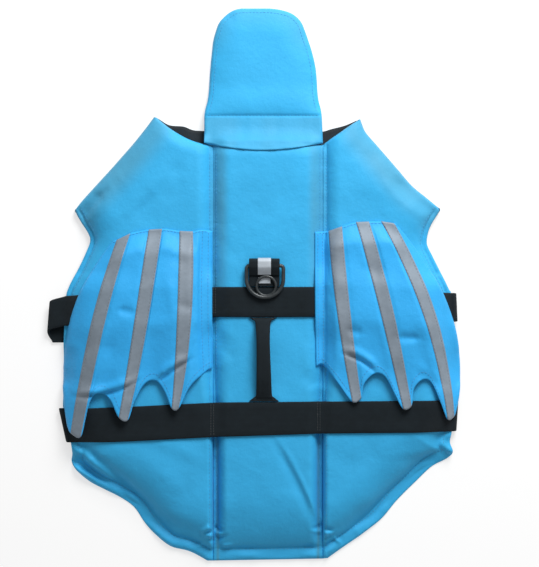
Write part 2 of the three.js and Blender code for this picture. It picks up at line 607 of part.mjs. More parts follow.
// A wing is laid on its side panel and the belts, and puffs up between its edges.
function wingGrid(columns, below) {
  const grid = [];
  for (let j = 0; j < WING_STEPS; j += 1) {
    const t = j / (WING_STEPS - 1);
    const a = 2 * (t - 0.5) * (t - 1);
    const b = 4 * t * (1 - t);
    const c = 2 * t * (t - 0.5);
    grid.push(columns.map((p) => {
      const x = a * p.topX + b * p.midX + c * p.lowX;
      const y = a * p.topY + b * p.midY + c * p.lowY;
      return [x, y, 0];
    }));
  }
  const laid = mapGrid(grid, ([x, y]) => {
    const support = supportAt(below, x, y);
    return [x, y, Number.isFinite(support) ? support + CLEAR : underHeight(x, y) + HEM + CLEAR];
  });
  const rested = settle(laid, below, 2 * CLEAR);
  const last = columns.length - 1;
  return mapGrid(rested, ([x, y, z], i, j) => {
    const across = Math.sin(Math.PI * Math.min(1, Math.max(0, (i - 1) / (last - 1)))) ** 0.6;
    const down = Math.sin(Math.PI * (0.12 + 0.76 * (j / (WING_STEPS - 1)))) - 0.35;
    return [x, y, z + WING_PUFF * across * Math.max(0, down)];
  });
}

function addWing(side, columns, panel) {
  const below = [panel.upper, centrePanel.upper, upperBelt, lowerBelt];
  const lower = wingGrid(columns, below);
  const upper = raise(lower, WING);
  addPiece(`wing_${side}`, slab(lower, upper), AZURE);
  Object.entries(TAPE_COLUMNS).forEach(([place, start]) => {
    const tape = raise(upper.map((row) => row.slice(start, start + 2)), CLEAR);
    addPiece(`tape_${side}_${place}`, slab(tape, raise(tape, TAPE)), GREY);
  });
}
addWing('left', WING_LEFT, leftPanel);
addWing('right', WING_RIGHT, rightPanel);

// The grab handle lies on the centre panel at its ends and arches over a finger gap.
function addHandle() {
  const sides = [-1, -0.5, 0, 0.5, 1];
  const flat = HANDLE_ROWS.map((r) => sides.map((s) => {
    const x = HANDLE_X + s * r.halfWidth;
    return [x, r.y, supportAt([centrePanel.upper], x, r.y) + CLEAR];
  }));
  const laid = settle(flat, [centrePanel.upper], CLEAR);
  const lower = mapGrid(laid, ([x, y, z], i, j) => [x, y, z + HANDLE_ROWS[j].rise]);
  addPiece('grab_handle', slab(lower, raise(lower, HANDLE_THICK)), BLACK);
}
addHandle();

// The ring lies just over the belt, and its tab just over the centre panel.
const TAB_WRAP = RING.bar + TAB.play + TAB.web;
function ringHeight() {
  let height = 0;
  const top = RING.barY + TAB.foldY + TAB_WRAP;
  for (let y = top; y > RING.barY - RING.side - RING.halfWidth - 4; y -= 2) {
    for (let x = -RING.halfWidth; x <= RING.halfWidth; x += 3.1) {
      const panel = supportAt([centrePanel.upper], RING.x + x, y);
      const belt = supportAt([upperBelt], RING.x + x, y);
      height = Math.max(height, panel + TAB_WRAP + CLEAR, belt + RING.bar + CLEAR);
    }
  }
  return height;
}
const RING_Z = ringHeight();

// A closed round tube along a loop of points in the ring's plane.
function closedTube(path, radius, sides) {
  const position = [];
  const index = [];
  const count = path.length;
  path.forEach((p, k) => {
    const before = path[(k + count - 1) % count];
    const after = path[(k + 1) % count];
    const along = new THREE.Vector2(after[0] - before[0], after[1] - before[1]).normalize();
    for (let s = 0; s < sides; s += 1) {
      const angle = (2 * Math.PI * (s + 0.5)) / sides;
      const out = radius * Math.cos(angle);
      position.push(p[0] + along.y * out, p[1] - along.x * out, radius * Math.sin(angle));
      const next = ((k + 1) % count) * sides;
      const turn = (s + 1) % sides;
      index.push(k * sides + s, next + s, next + turn);
      index.push(k * sides + s, next + turn, k * sides + turn);
    }
  });
  if (signedVolume(position, index) < 0) index.reverse();
  const geometry = new THREE.BufferGeometry();
  geometry.setAttribute('position', new THREE.Float32BufferAttribute(position, 3));
  geometry.setIndex(index);
  return geometry;
}

function ringPath() {
  const { halfWidth, side } = RING;
  const corner = 3.2;
  const path = [];
  const arc = (cx, cy, radius, from, to, steps) => {
    for (let k = 0; k <= steps; k += 1) {
      const angle = THREE.MathUtils.degToRad(lerp(from, to, k / steps));
      path.push([cx + radius * Math.cos(angle), cy + radius * Math.sin(angle)]);
    }
  };
  arc(halfWidth - corner, -corner, corner, 90, 0, 4);
  arc(0, -side, halfWidth, 0, -180, 22);
  arc(-halfWidth + corner, -corner, corner, 180, 90, 4);
  return path;
}

const toManifold = (geometry) => {
  const merged = mergeVertices(geometry, 1e-5);
  const triVerts = Uint32Array.from(merged.index.array);
  const vertProperties = Float32Array.from(merged.attributes.position.array);
  return new wasm.Manifold(new wasm.Mesh({ numProp: 3, vertProperties, triVerts }));
};

function fromManifold(solid) {
  const mesh = solid.getMesh();
  const geometry = new THREE.BufferGeometry();
  geometry.setAttribute('position', new THREE.Float32BufferAttribute(mesh.vertProperties, 3));
  geometry.setIndex(Array.from(mesh.triVerts));
  return geometry;
}

function addRing() {
  const loop = closedTube(ringPath(), RING.bar, RING_SIDES);
  const eye = new THREE.TorusGeometry(EYE.radius, EYE.bar, RING_SIDES, 28);
  eye.deleteAttribute('normal');
  eye.deleteAttribute('uv');
  eye.translate(EYE.x - RING.x, EYE.y - RING.barY, 0);
  const ring = addPiece('d_ring', fromManifold(toManifold(loop).add(toManifold(eye))), STEEL);
  ring.position.set(RING.x, RING.barY, RING_Z);
}
addRing();

// Stands a side view, drawn from the ring's bar, up across the garment.
function standAcross(name, outline, halfWidth, look) {
  const options = { depth: 2 * halfWidth, bevelEnabled: false, curveSegments: 12 };
  const piece = addPiece(name, new THREE.ExtrudeGeometry(outline, options), look);
  piece.rotation.set(Math.PI / 2, Math.PI / 2, 0);
  piece.position.set(TAB.x - halfWidth, RING.barY, RING_Z);
}

// The direction in which the tab's upper layer runs down to its tail, and its outward normal.
const SLOPE = new THREE.Vector2(Math.cos(TAB_TURN + Math.PI / 2), Math.sin(TAB_TURN + Math.PI / 2));
const SLOPE_OUT = new THREE.Vector2(Math.cos(TAB_TURN), Math.sin(TAB_TURN));

// The tab in side view: a loop round the ring's bar and a tail sewn flat to the back.
function addTab() {
  const hole = RING.bar + TAB.play;
  const tailTop = TAB.web - TAB_WRAP;
  const outline = new THREE.Shape();
  outline.moveTo(TAB.endY, -TAB_WRAP);
  outline.lineTo(TAB.foldY, -TAB_WRAP);
  outline.absarc(TAB.foldY, 0, TAB_WRAP, -Math.PI / 2, Math.PI / 2, false);
  outline.absarc(TAB.turnY, 0, TAB_WRAP, Math.PI / 2, TAB_TURN, false);
  outline.lineTo(TAB_LANDING.y, tailTop + TAB.web);
  outline.lineTo(TAB_LANDING.y - TAB_LANDING.length, tailTop);
  outline.lineTo(TAB.endY, tailTop);
  outline.closePath();
  const bore = new THREE.Path();
  bore.absarc(TAB.foldY, 0, hole, Math.PI / 2, -Math.PI / 2, true);
  bore.absarc(0, 0, hole, -Math.PI / 2, Math.PI / 2, true);
  bore.closePath();
  outline.holes.push(bore);
  standAcross('ring_tab', outline, TAB.halfWidth, BLACK);
}
addTab();

// The tab's reflective stripe follows its upper layer from the fold down its slope.
function addStripe() {
  const inner = TAB_WRAP + CLEAR;
  const outer = inner + TAPE;
  const end = (radius) => {
    const turn = SLOPE_OUT.clone().multiplyScalar(radius).add(new THREE.Vector2(TAB.turnY, 0));
    return turn.addScaledVector(SLOPE, STRIPE.slope);
  };
  const outline = new THREE.Shape();
  outline.moveTo(end(inner).x, end(inner).y);
  outline.lineTo(end(outer).x, end(outer).y);
  outline.absarc(TAB.turnY, 0, outer, TAB_TURN, Math.PI / 2, true);
  outline.absarc(TAB.foldY, 0, outer, Math.PI / 2, STRIPE.from, true);
  outline.absarc(TAB.foldY, 0, inner, STRIPE.from, Math.PI / 2, false);
  outline.absarc(TAB.turnY, 0, inner, Math.PI / 2, TAB_TURN, false);
  outline.closePath();
  standAcross('tab_stripe', outline, STRIPE.halfWidth, SILVER);
}
addStripe();

const box = new THREE.Box3().setFromObject(jacket);
jacket.position.set(-(box.min.x + box.max.x) / 2, -(box.min.y + box.max.y) / 2, 0);

export default jacket;
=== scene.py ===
"""Dog life jacket laid flat, back up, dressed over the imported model.

Sizes are in millimetres in the garment's own frame: X to the right, Y towards the neck, Z up.
The frame starts on the middle of the centre panel, and place() takes it to the model in metres.
"""
import math

import bpy
import numpy as np
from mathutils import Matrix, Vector


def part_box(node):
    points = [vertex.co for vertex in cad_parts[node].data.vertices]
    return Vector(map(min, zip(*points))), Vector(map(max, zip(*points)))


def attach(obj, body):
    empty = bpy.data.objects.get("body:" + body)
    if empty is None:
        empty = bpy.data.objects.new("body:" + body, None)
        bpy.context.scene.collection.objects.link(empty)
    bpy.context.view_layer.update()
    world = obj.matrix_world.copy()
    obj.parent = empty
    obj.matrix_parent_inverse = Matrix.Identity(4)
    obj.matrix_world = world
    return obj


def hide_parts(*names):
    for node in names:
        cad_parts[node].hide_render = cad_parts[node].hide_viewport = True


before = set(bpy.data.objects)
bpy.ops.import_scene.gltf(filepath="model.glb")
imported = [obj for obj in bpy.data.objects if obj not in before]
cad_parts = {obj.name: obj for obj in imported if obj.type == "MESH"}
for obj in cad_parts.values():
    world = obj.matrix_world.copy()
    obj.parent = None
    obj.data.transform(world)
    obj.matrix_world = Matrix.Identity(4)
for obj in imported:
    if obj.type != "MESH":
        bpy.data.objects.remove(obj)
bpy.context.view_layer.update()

MM = 0.001
TINY = 1e-9
UP = np.array([0.0, 0.0, 1.0])
BODY = "jacket"
RING_BODY = "d_ring"

# Driving sizes, as in the model.
CLEAR = 0.3
SHELL = 1.5
HEM = 3.0
WEB = 2.0
WING = 1.8
WING_GAP = 0.5
TAPE = 0.5
SEAM_X = 55.0
SEAM_GAP = 0.01
# The groove at a seam: its depth, then its reach, each at the shoulders and at the tail.
SEAM_GROOVE = (0.8, 3.0)
SEAM_ROUNDING = (1.2, 3.2)
NECK_Y = 141.0
CHEST_LIFT = 2 * (SHELL + CLEAR)
BELT_LIFT = 2 * (WEB + CLEAR)
FOAM_BASE = 2 * CHEST_LIFT
FOAM_CROWN = 10.5
THINNEST = 1.2
# Rounding of a piece towards its edge: share of its thickness left there, and reach.
PANEL_RIM = (0.12, 2.6)
FLAP_RIM = (0.15, 2.6)
BELT_RIM = (0.35, 1.0)
WING_RIM = (0.2, 1.6)
TAPE_RIM = (0.4, 0.8)
HANDLE_RIM = (0.3, 1.6)
# Noise of the head flap and of a lining: height, cell and seed of each grain.
FLAP_WAVES = ((0.5, 38, 93), (0.2, 15, 94))
LINING_WAVES = ((0.35, 16, 71), (0.25, 7, 72))
# Rows and columns of the pieces' grids, before the extra ones along their edges.
SIDE_GRID = (250, 88)
CENTRE_GRID = (230, 72)
CHEST_GRID = (40, 70)
FLAP_GRID = (160, 66)
WING_GRID_ROWS = 104
# Smoothing passes of what a piece is laid over: more of them span wider dips.
BELT_PASSES = 14
HANDLE_PASSES = 20
FLAP_PASSES = 40
WING_PASSES = 60
# Gap between a wing and its tapes, height of a stitched line over the cloth, and its step.
TAPE_GAP = 0.12
THREAD_LIFT = 0.1
LINE_STEP = 1.2
SHORT_STITCH = 1.6
# How far a seam's rows of stitches lie beside it.
SEAM_STITCH = 3.2

# Rows of the side panels, from the neck to the tail: in x, in y, out x, out y.
LEFT_ROWS = np.array([
    (-111, 167.5, -115, 169), (-98, 157, -124, 157), (-81, 147, -136, 142), (-66, 142, -147, 129.5),
    (-55, 141, -158, 117), (-55, 128, -169, 105), (-55, 114, -180, 93), (-55, 100, -188, 84),
    (-55, 87, -195, 75), (-55, 74, -188, 63), (-55, 64, -181, 52), (-55, 55, -179, 44),
    (-55, 44, -183, 33), (-55, 31, -190, 18), (-55, 17, -198, 3), (-55, 6, -201.5, -5),
    (-55, -2, -203, -11), (-55, -17, -204, -26), (-55, -32, -205, -41), (-55, -44, -205.5, -54),
    (-55, -60, -206, -70), (-55, -76, -206, -86), (-55, -92, -206, -100), (-55, -105, -206, -112),
    (-55, -117, -206, -124), (-55, -134, -202, -141), (-55, -151, -198.5, -158),
    (-55, -163, -197, -169), (-55, -175, -198, -178), (-55, -187, -193, -187),
    (-55, -198, -180, -198), (-55, -209, -165, -206), (-55, -220, -149, -214),
    (-55, -231, -135, -224), (-55, -242, -124, -240), (-55, -253, -113, -252),
    (-55, -262, -98, -263.5), (-55, -270, -79, -268.5), (-55, -278, -61, -278),
])
RIGHT_ROWS = np.array([
    (89.5, 165, 93, 167), (84, 161.5, 95.5, 160), (74, 154.5, 99, 153), (64, 147.5, 109, 141.5),
    (55, 141, 119, 130), (55, 129, 132, 115), (55, 116, 145, 100), (55, 102, 159.5, 88),
    (55, 88, 174, 76), (55, 75, 165, 62), (55, 65, 161, 52), (55, 55, 160, 41),
    (55, 44, 165, 30), (55, 31, 172, 16), (55, 17, 179, 2), (55, 6, 182, -4.5),
    (55, -2, 184, -8), (55, -17, 184.5, -22), (55, -32, 185, -37), (55, -44, 185, -49),
    (55, -60, 186, -65), (55, -76, 186.5, -80), (55, -92, 187, -93), (55, -104, 187, -104),
    (55, -116, 187, -115), (55, -132, 186, -131), (55, -148, 185, -147),
    (55, -160, 183, -158), (55, -172, 186, -168), (55, -184, 180, -175),
    (55, -196, 165, -183), (55, -208, 149, -198), (55, -220, 130, -217),
    (55, -231, 115, -235), (55, -242, 99, -248), (55, -253, 88, -256),
    (55, -262, 79, -262), (55, -269.5, 69, -269), (55, -276, 60, -275.5),
])
# Rows where the outline turns a corner, and where its kinds of edge meet.
SEAM_ROW = 4
LEG_CORNER_ROW = 8
HIP_ROW = 27
LAST_ROW = len(LEFT_ROWS) - 1

# How the foam falls off at each kind of edge: flat inset, width of the slope, share kept at the
# edge, and how round the slope is, from 0 for a parabola to 1 for an ellipse.
EDGE_SHOULDERS = {
    "neck": (0.0, 14.0, 0.6, 0.2),
    "fold": (0.5, 31.0, 0.0, 0.6),
    "side": (5.0, 28.0, 0.0, 0.6),
    "hem": (12.0, 38.0, 0.0, 0.4),
    "tail": (13.0, 56.0, 0.0, 0.4),
}
# The same at the seams, at the shoulders and at the tail, on the middle panel and the side ones.
SEAM_SHOULDERS = {
    "center": ((1.5, 17.0, 0.34, 0.2), (4.5, 10.0, 0.0, 0.25)),
    "side": ((4.0, 13.0, 0.36, 0.3), (0.0, 6.0, 0.4, 0.6)),
}
SEAM_CHANGE_Y = (-60.0, -160.0)

# What lies under the back, as bands along Y: from, to, height, width of the ramps.
UNDER_BANDS = (
    (2.0, 190.0, CHEST_LIFT, 14.0),
    (-71.0, 20.0, BELT_LIFT, 12.0),
    (-177.0, -92.0, BELT_LIFT, 12.0),
)
# Where the two chest flaps lap, from the middle.
LAP_HALF = 42.0
LAP_RAMP = 12.8
# Where the right chest flap climbs the left one: first x and length.
LAP_CLIMB = (46.0, 18.0)

# Folds of the back: start x, y, end x, y, sideways bow, half width, height (negative in a trough).
FOLDS = (
    (-187, 66, -162, 94, 2, 5.0, -4.2),
    (-182, 66, -148, 102, 2, 6.0, 1.2),
    (-166, 96, -144, 114, 0, 6.0, 1.3),
    (-122, 87, -86, 109, 3, 8.0, 1.2),
    (-130, 70, -104, 62, -3, 9.0, -0.7),
    (122, 112, 171, 70, -3, 6.5, -3.4),
    (112, 108, 155, 69, -3, 5.0, 1.1),
    (84, 147, 114, 119, 0, 11.0, -1.2),
    (78, 98, 128, 84, 3, 10.0, 0.9),
    (-199, -162, -148, -201, 3, 4.2, 4.2),
    (-206, -173, -162, -199, 2, 2.6, -3.6),
    (-184, -160, -132, -207, -3, 4.6, -4.4),
    (-203, -181, -170, -199, 1, 3.6, 2.2),
    (-150, -203, -118, -240, -2, 4.0, -2.0),
    (-133, -158, -70, -186, 5, 9.0, -1.0),
    (-116, -158, -64, -176, 4, 7.0, 0.7),
    (-138, -205, -64, -247, -12, 8.0, -3.4),
    (66, -246, 180, -160, -10, 8.0, -3.4),
    (168, -158, 186, -170, 2, 4.0, 1.8),
    (172, -163, 186, -176, 0, 3.5, -1.8),
    (9, -152, 54, -245, 3, 2.6, 1.9),
    (4, -152, 48, -245, 3, 5.0, -2.0),
    (-88, 134, -148, 64, 2, 7.0, 0.9),
    (-78, 132, -138, 62, 2, 6.0, -1.0),
    (-53, -48, -36, -80, 2, 7.0, -1.5),
    (-54, -84, -40, -66, -2, 5.0, 0.8),
    (33, -88, 48, -104, 2, 7.0, -1.1),
    (-110, -186, -84, -210, 5, 9.0, 0.6),
    (-104, -220, -78, -196, 6, 9.0, 0.5),
    (70, -176, 120, -168, -4, 10.0, -0.8),
    (-46, 96, 40, 104, 4, 16.0, 0.5),
    (-40, 40, 30, 30, -4, 18.0, -0.5),
)
# Short puckers that fan out where a seam ends at the hem: x, y, length, angle, half width, height.
PUCKERS = (
    (-58, -241, 17, 220, 2.6, 3.0), (-56, -247, 18, 190, 2.2, -3.0), (-56, -252, 15, 160, 2.4, 3.2),
    (-55, -258, 13, 130, 2.2, -2.2), (-54, -243, 17, 330, 2.4, -2.8), (-53, -249, 16, 0, 2.2, 3.0),
    (-51, -255, 15, 28, 2.2, -2.6), (-46, -262, 14, 8, 1.8, 1.8), (-64, -260, 12, 205, 2.0, 2.0),
    (56, -241, 17, 200, 2.2, -2.2), (54, -248, 16, 168, 2.0, 2.2), (56, -243, 17, 338, 2.2, -2.4),
    (56, -249, 16, 8, 2.2, 2.6), (57, -256, 14, 35, 2.0, -2.0), (55, -238, 14, 100, 2.0, 1.4),
    (66, -254, 12, 320, 1.8, 1.8), (45, -262, 13, 185, 1.8, -1.6),
)

# The head float flap: y, left x, right x, bow of the row towards the tail.
FLAP_ROWS = np.array([
    (142, -64, 55, 8), (150, -64, 54.8, 5.5), (158, -64, 54.5, 3), (164, -64, 54.3, 1.5),
    (170, -64, 54, 0), (177, -63, 53, 0), (185, -61, 51, 0), (195, -59.7, 49.8, 0),
    (207, -59, 49.2, 0), (220, -58, 47.8, 0), (234, -56.6, 44.6, 0), (246, -55.2, 40.8, 0),
    (256, -52.5, 37.3, 0), (264, -49.5, 34, 0), (270, -44.5, 29, 0), (274.5, -39, 22, 0),
    (277.5, -33, 12, 0), (278.8, -27, 2, 0),
])
FLAP_STITCH_Y = 170.0
# Height of the flap's base where it crosses the linings, and the rows between which it rises.
FLAP_RAMP = (9.4, 207.0, 62.0)
FLAP_CROWN = 5.6
# Its slopes, given as those of the back: round its edge, and above the row of stitches.
FLAP_SHOULDER = (1.0, 27.0, 0.0, 0.45)
FLAP_ROOT_SHOULDER = (0.0, 24.0, 0.0, 0.35)
# How much the flap's band thins from its stitches to its edge, and over what length.
FLAP_BAND_THIN = (2.0, 28.0)
FLAP_GROOVE = (0.4, 1.4)
# Painted shade on the band below the foam: its share; then greyer, darker cloth at the flap's end:
# share, reach and lowest row.
FLAP_BAND_SHADE = 0.55
FLAP_END_GREYER = (0.4, 26.0, 225.0)

# Neck and leg edges of the chest flaps, from the fold to the lap: neck x, y, leg x, y.
CHEST_LEFT = np.array([
    (-113, 167.5, -193, 75), (-101, 161, -178, 61), (-86, 159.5, -158, 49), (-76, 156, -130, 38),
    (-65, 155, -95, 29), (-30, 153, -45, 23), (22, 151, 22, 21),
])
CHEST_RIGHT = np.array([
    (91.5, 165.5, 172, 76), (79, 160.5, 158, 62), (65, 157, 140, 50), (56, 154.5, 112, 38),
    (46, 154, 56, 27), (26, 153, 28, 22), (0, 152, 0, 20.5), (-26, 151, -26, 20),
])
# How far the flaps stay inside the fold: everywhere, then more in the middle, left and right.
CHEST_INSET = 3.5
CHEST_BOW = {-1: 1.0, 1: 7.0}
# Share of that in x and in y, as the fold slants by about 45 degrees.
CHEST_SLANT = 0.7

# Columns of the wings, inner to outer: top x, y, middle x, y, lower edge x, y.
WING_LEFT = np.array([
    (-55.5, 54, -55.5, -15, -55.5, -83), (-65, 55, -66, -18, -64, -88),
    (-70, 54.5, -71, -25, -78, -102), (-74.7, 53.5, -76, -37, -88.5, -122.5),
    (-88, 54, -90, -37, -95.5, -122.5), (-94, 55, -98, -28, -102, -107),
    (-99.5, 55.7, -106, -22, -111, -95.5), (-102.5, 56, -112.5, -24, -122, -98),
    (-104, 56, -116.5, -31, -132, -115), (-105.3, 56, -119.3, -40, -138.8, -134),
    (-118.7, 55.3, -132.7, -40, -147.8, -131.5), (-121, 55, -137, -31, -156, -115),
    (-126, 54, -144, -27, -165, -108), (-131, 53, -151.5, -30, -174, -111),
    (-134.5, 52.3, -158, -37, -180, -127), (-137, 51.5, -163.3, -46, -186, -151),
    (-150.5, 45, -176.7, -43.5, -197, -148), (-154, 44, -200, -42, -201, -141),
])
WING_RIGHT = np.array([
    (46.6, 53, 46.6, -14, 48, -81), (54.5, 53.5, 55, -14, 55.5, -81),
    (57.5, 53.8, 61.5, -17, 69, -97), (60.5, 54, 67.3, -20, 83.5, -116),
    (73.7, 58.5, 80.7, -19.5, 92.5, -112), (77, 59.5, 86, -17, 95.5, -98),
    (81, 61, 93, -14, 106, -88), (84.5, 62, 101, -16, 116, -91),
    (86, 62.5, 106, -21, 126, -109), (87.5, 62.8, 111, -27, 134, -123),
    (100.5, 63.3, 124, -26, 142.5, -120), (103, 63.4, 128, -21, 145, -103),
    (107, 63.4, 134, -17, 154, -94), (110, 63.4, 140, -19, 163, -98),
    (111.5, 63.4, 147.5, -25, 172, -118), (112.5, 63.5, 155.3, -35, 179, -134),
    (125.5, 61.5, 168.7, -35, 186.5, -132), (128, 60, 184, -30, 190, -121),
])
TAPE_COLUMNS = {"inner": 3, "middle": 9, "outer": 15}
# Steps between two columns, reach of the slope beside a sewn edge, and rise in the middle.
WING_COLUMN_STEPS = 8
WING_SLOPE = 12.0
WING_RISE = 8.2
WING_SEEDS = {"left": 131, "right": 151}
# Folds of the wings, given as the folds of the back are.
WING_FOLDS = {
    "left": (
        (-194, -111, -128, -95, -5, 1.9, -2.6), (-194, -106, -128, -90, -5, 3.6, 2.4),
        (-111, -97, -76, -74, 1, 1.9, -2.6), (-112, -92, -77, -69, 1, 3.6, 2.4),
        (-149, -25, -131, -29, 1, 4.0, -1.9), (-172, -60, -150, -66, 2, 8.0, -1.2),
        (-90, -20, -74, -26, 2, 5.0, -1.2), (-96, 30, -78, 24, -2, 6.0, -0.9),
        (-100, 10, -92, -50, 2, 5.0, 0.8), (-140, 20, -152, -40, -2, 6.0, 0.7),
    ),
    "right": (
        (73, -68, 108, -89, 4, 1.9, -2.6), (75, -63, 110, -84, 4, 3.6, 2.2),
        (127, -51, 151, -52, -1, 4.0, -1.9), (78, -44, 94, -48, 0, 4.0, -1.6),
        (96, 16, 116, 8, 2, 6.0, -1.0),
        (146, -84, 182, -100, -4, 5.0, -1.4), (112, 20, 128, -40, -2, 6.0, 0.7),
        (150, -14, 172, -60, -3, 7.0, 0.8),
    ),
}

# Grab handle: y, half width, rise over the back.
HANDLE_ROWS = np.array([
    (-32.4, 14, 0.0), (-34.5, 10.5, 0.3), (-37, 7.8, 1.8), (-46, 7.0, 6.0), (-57, 6.7, 8.6),
    (-68, 6.8, 9.3), (-81, 7.1, 9.1), (-94, 7.4, 7.2), (-104, 7.7, 3.8), (-110, 8.2, 1.2),
    (-112.5, 11, 0.3), (-115.8, 15, 0.0),
])
HANDLE_X = -4.5
HANDLE_THICK = 2.6

# Leash ring, from the middle of its bar, and its eye.
RING_X = -3.0
RING_BAR_Y = 19.2
RING_HALF = 18.3
RING_BAR = 1.9
RING_SIDE = 13.2
RING_CORNER = 3.2
EYE_X = -1.8
EYE_Y = -0.9
EYE_RADIUS = 9.6
EYE_BAR = 1.3
TUBE_SIDES = 16
# The tab that holds the ring, in side view from the ring's bar, and its stripe.
TAB_X = -3.6
TAB_HALF = 15.2
TAB_WEB = 1.6
TAB_END_Y = -20.8
TAB_RADIUS = 3.1
TAB_FOLD_Y = 3.3
TAB_TURN_Y = -0.6
TAB_SLOPE = ((-1.74, 2.88), (-4.3, 1.55), (-6.9, -0.1), (-9.3, -1.55))
STRIPE_HALF = 6.5
STRIPE_GAP = 0.4
STRIPE_TAIL = (-17.7, -11.8)
STRIPE_TAIL_HALF = 6.0

centre_low, centre_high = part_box("center_panel")
SHIFT = np.array([(centre_low.x + centre_high.x) / 2 / MM, centre_high.y / MM - NECK_Y, 0.0])
ring_low, ring_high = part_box("d_ring")
RING_Z = (ring_low.z + ring_high.z) / 2 / MM


def place(points):
    """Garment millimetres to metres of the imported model."""
    return (np.asarray(points, float) + SHIFT) * MM


def smooth(t):
    """A share from 0 to 1 that starts and ends gently."""
    t = np.clip(t, 0.0, 1.0)
    return t * t * (3 - 2 * t)


def mix(a, b, t):
    """From a to b by a share."""
    return a + (b - a) * t


NOISE_STEPS = 512
NOISE_CELLS = 64


def noise_line(s, cell, seed):
    """Smooth noise from -1 to 1 along a length."""
    table = np.random.RandomState(seed).uniform(-1, 1, NOISE_STEPS)
    t = np.asarray(s, float) / cell + 100.0
    k = np.floor(t).astype(int)
    f = smooth(t - k)
    return mix(table[k % NOISE_STEPS], table[(k + 1) % NOISE_STEPS], f)


def noise_sheet(x, y, cell, seed):
    """Smooth noise from -1 to 1 over a surface."""
    n = NOISE_CELLS
    table = np.random.RandomState(seed).uniform(-1, 1, (n, n))
    u = np.asarray(x, float) / cell + 200.0
    v = np.asarray(y, float) / cell + 200.0
    i = np.floor(u).astype(int)
    j = np.floor(v).astype(int)
    fu = smooth(u - i)
    fv = smooth(v - j)
    low = mix(table[i % n, j % n], table[(i + 1) % n, j % n], fu)
    high = mix(table[i % n, (j + 1) % n], table[(i + 1) % n, (j + 1) % n], fu)
    return mix(low, high, fv)


def noise_sum(x, y, layers):
    """Noise of several grains: height, cell and seed of each."""
    return sum(rise * noise_sheet(x, y, cell, seed) for rise, cell, seed in layers)


def curve_at(points, values, corners=()):
    """Points of a smooth curve through a table's rows, at row numbers that needn't be whole."""
    points = np.asarray(points, float)
    stops = [0, *corners, len(points) - 1]
    out = np.empty((len(values), points.shape[1]))
    for n, value in enumerate(values):
        first, last = next(
            (a, b) for a, b in zip(stops[:-1], stops[1:]) if value <= b or b == stops[-1]
        )
        k = min(max(int(math.floor(value)), first), last - 1)
        t = value - k
        p1 = points[k]
        p2 = points[k + 1]
        p0 = points[k - 1] if k > first else 2 * p1 - p2
        p3 = points[k + 2] if k + 1 < last else 2 * p2 - p1
        out[n] = 0.5 * (
            2 * p1
            + (p2 - p0) * t
            + (2 * p0 - 5 * p1 + 4 * p2 - p3) * t * t
            + (3 * p1 - p0 - 3 * p2 + p3) * t ** 3
        )
    return out


def spaced(count, first, last, edge_steps=()):
    """Even steps from first to last, with extra ones close to both ends."""
    steps = list(np.linspace(first, last, count))
    steps += [first + e for e in edge_steps]
    steps += [last - e for e in edge_steps]
    return np.array(sorted(steps))


def line_distance(x, y, line):
    """Distance to a line of points, and the length along it at the nearest point."""
    best = np.full(np.shape(x), np.inf)
    along = np.zeros(np.shape(x))
    start = 0.0
    for (x0, y0), (x1, y1) in zip(line[:-1], line[1:]):
        dx = x1 - x0
        dy = y1 - y0
        length = math.hypot(dx, dy)
        if length < TINY:
            continue
        t = np.clip(((x - x0) * dx + (y - y0) * dy) / length ** 2, 0, 1)
        distance = np.hypot(x - x0 - t * dx, y - y0 - t * dy)
        nearer = distance < best
        best = np.where(nearer, distance, best)
        along = np.where(nearer, start + t * length, along)
        start += length
    return best, along


def inside(x, y, outline):
    """Whether points lie inside a closed outline."""
    odd = np.zeros(np.shape(x), bool)
    for (x0, y0), (x1, y1) in zip(outline, np.roll(outline, -1, axis=0)):
        if y0 == y1:
            continue
        crosses = (y0 > y) != (y1 > y)
        odd ^= crosses & (x < x0 + (y - y0) * (x1 - x0) / (y1 - y0))
    return odd


def rounded(distance, radius):
    """Share of full height near a rounded edge."""
    t = np.clip(distance / radius, 0.0, 1.0)
    return np.sqrt(np.clip(1 - (1 - t) ** 2, 0.0, 1.0))


def rim_share(distance, kept, radius):
    """Share of the thickness near an edge: what is kept there, and all of it past the radius."""
    return kept + (1 - kept) * rounded(distance, radius)


def bell(distance, middle, half):
    """A soft rise to 1 at a middle, that fades over about a half width."""
    return np.exp(-(((distance - middle) / half) ** 2))


def normals(line):
    """Unit vectors to the left of a flat line of points."""
    along = np.gradient(line, axis=0)
    normal = np.stack([-along[:, 1], along[:, 0]], 1)
    return normal / np.maximum(np.linalg.norm(normal, axis=1, keepdims=True), TINY)


def rim_line(x, y):
    """The outline of a grid as a closed line."""
    grid = np.stack([x, y], 2)
    return np.vstack([grid[:, 0], grid[-1, 1:], grid[-2::-1, -1], grid[0, -2::-1]])


def lengths(line):
    """Length along a line of points up to each of them."""
    return np.concatenate([[0], np.cumsum(np.linalg.norm(np.diff(line, axis=0), axis=1))])


def points_at(line, stops):
    """Points of a line at lengths along it."""
    reach = lengths(line)
    return np.stack([np.interp(stops, reach, line[:, k]) for k in range(line.shape[1])], 1)


def under_height(x, y):
    """Height of the folded flaps and belts that the back lies on."""
    height = np.zeros(np.shape(x))
    for low, high, lift, ramp in UNDER_BANDS:
        height = np.maximum(height, lift * smooth((y - low) / ramp) * smooth((high - y) / ramp))
    lap = smooth((LAP_HALF + LAP_RAMP - np.abs(x)) / LAP_RAMP)
    low, _, lift, ramp = UNDER_BANDS[0]
    return height + lift * lap * smooth((y - low) / ramp)


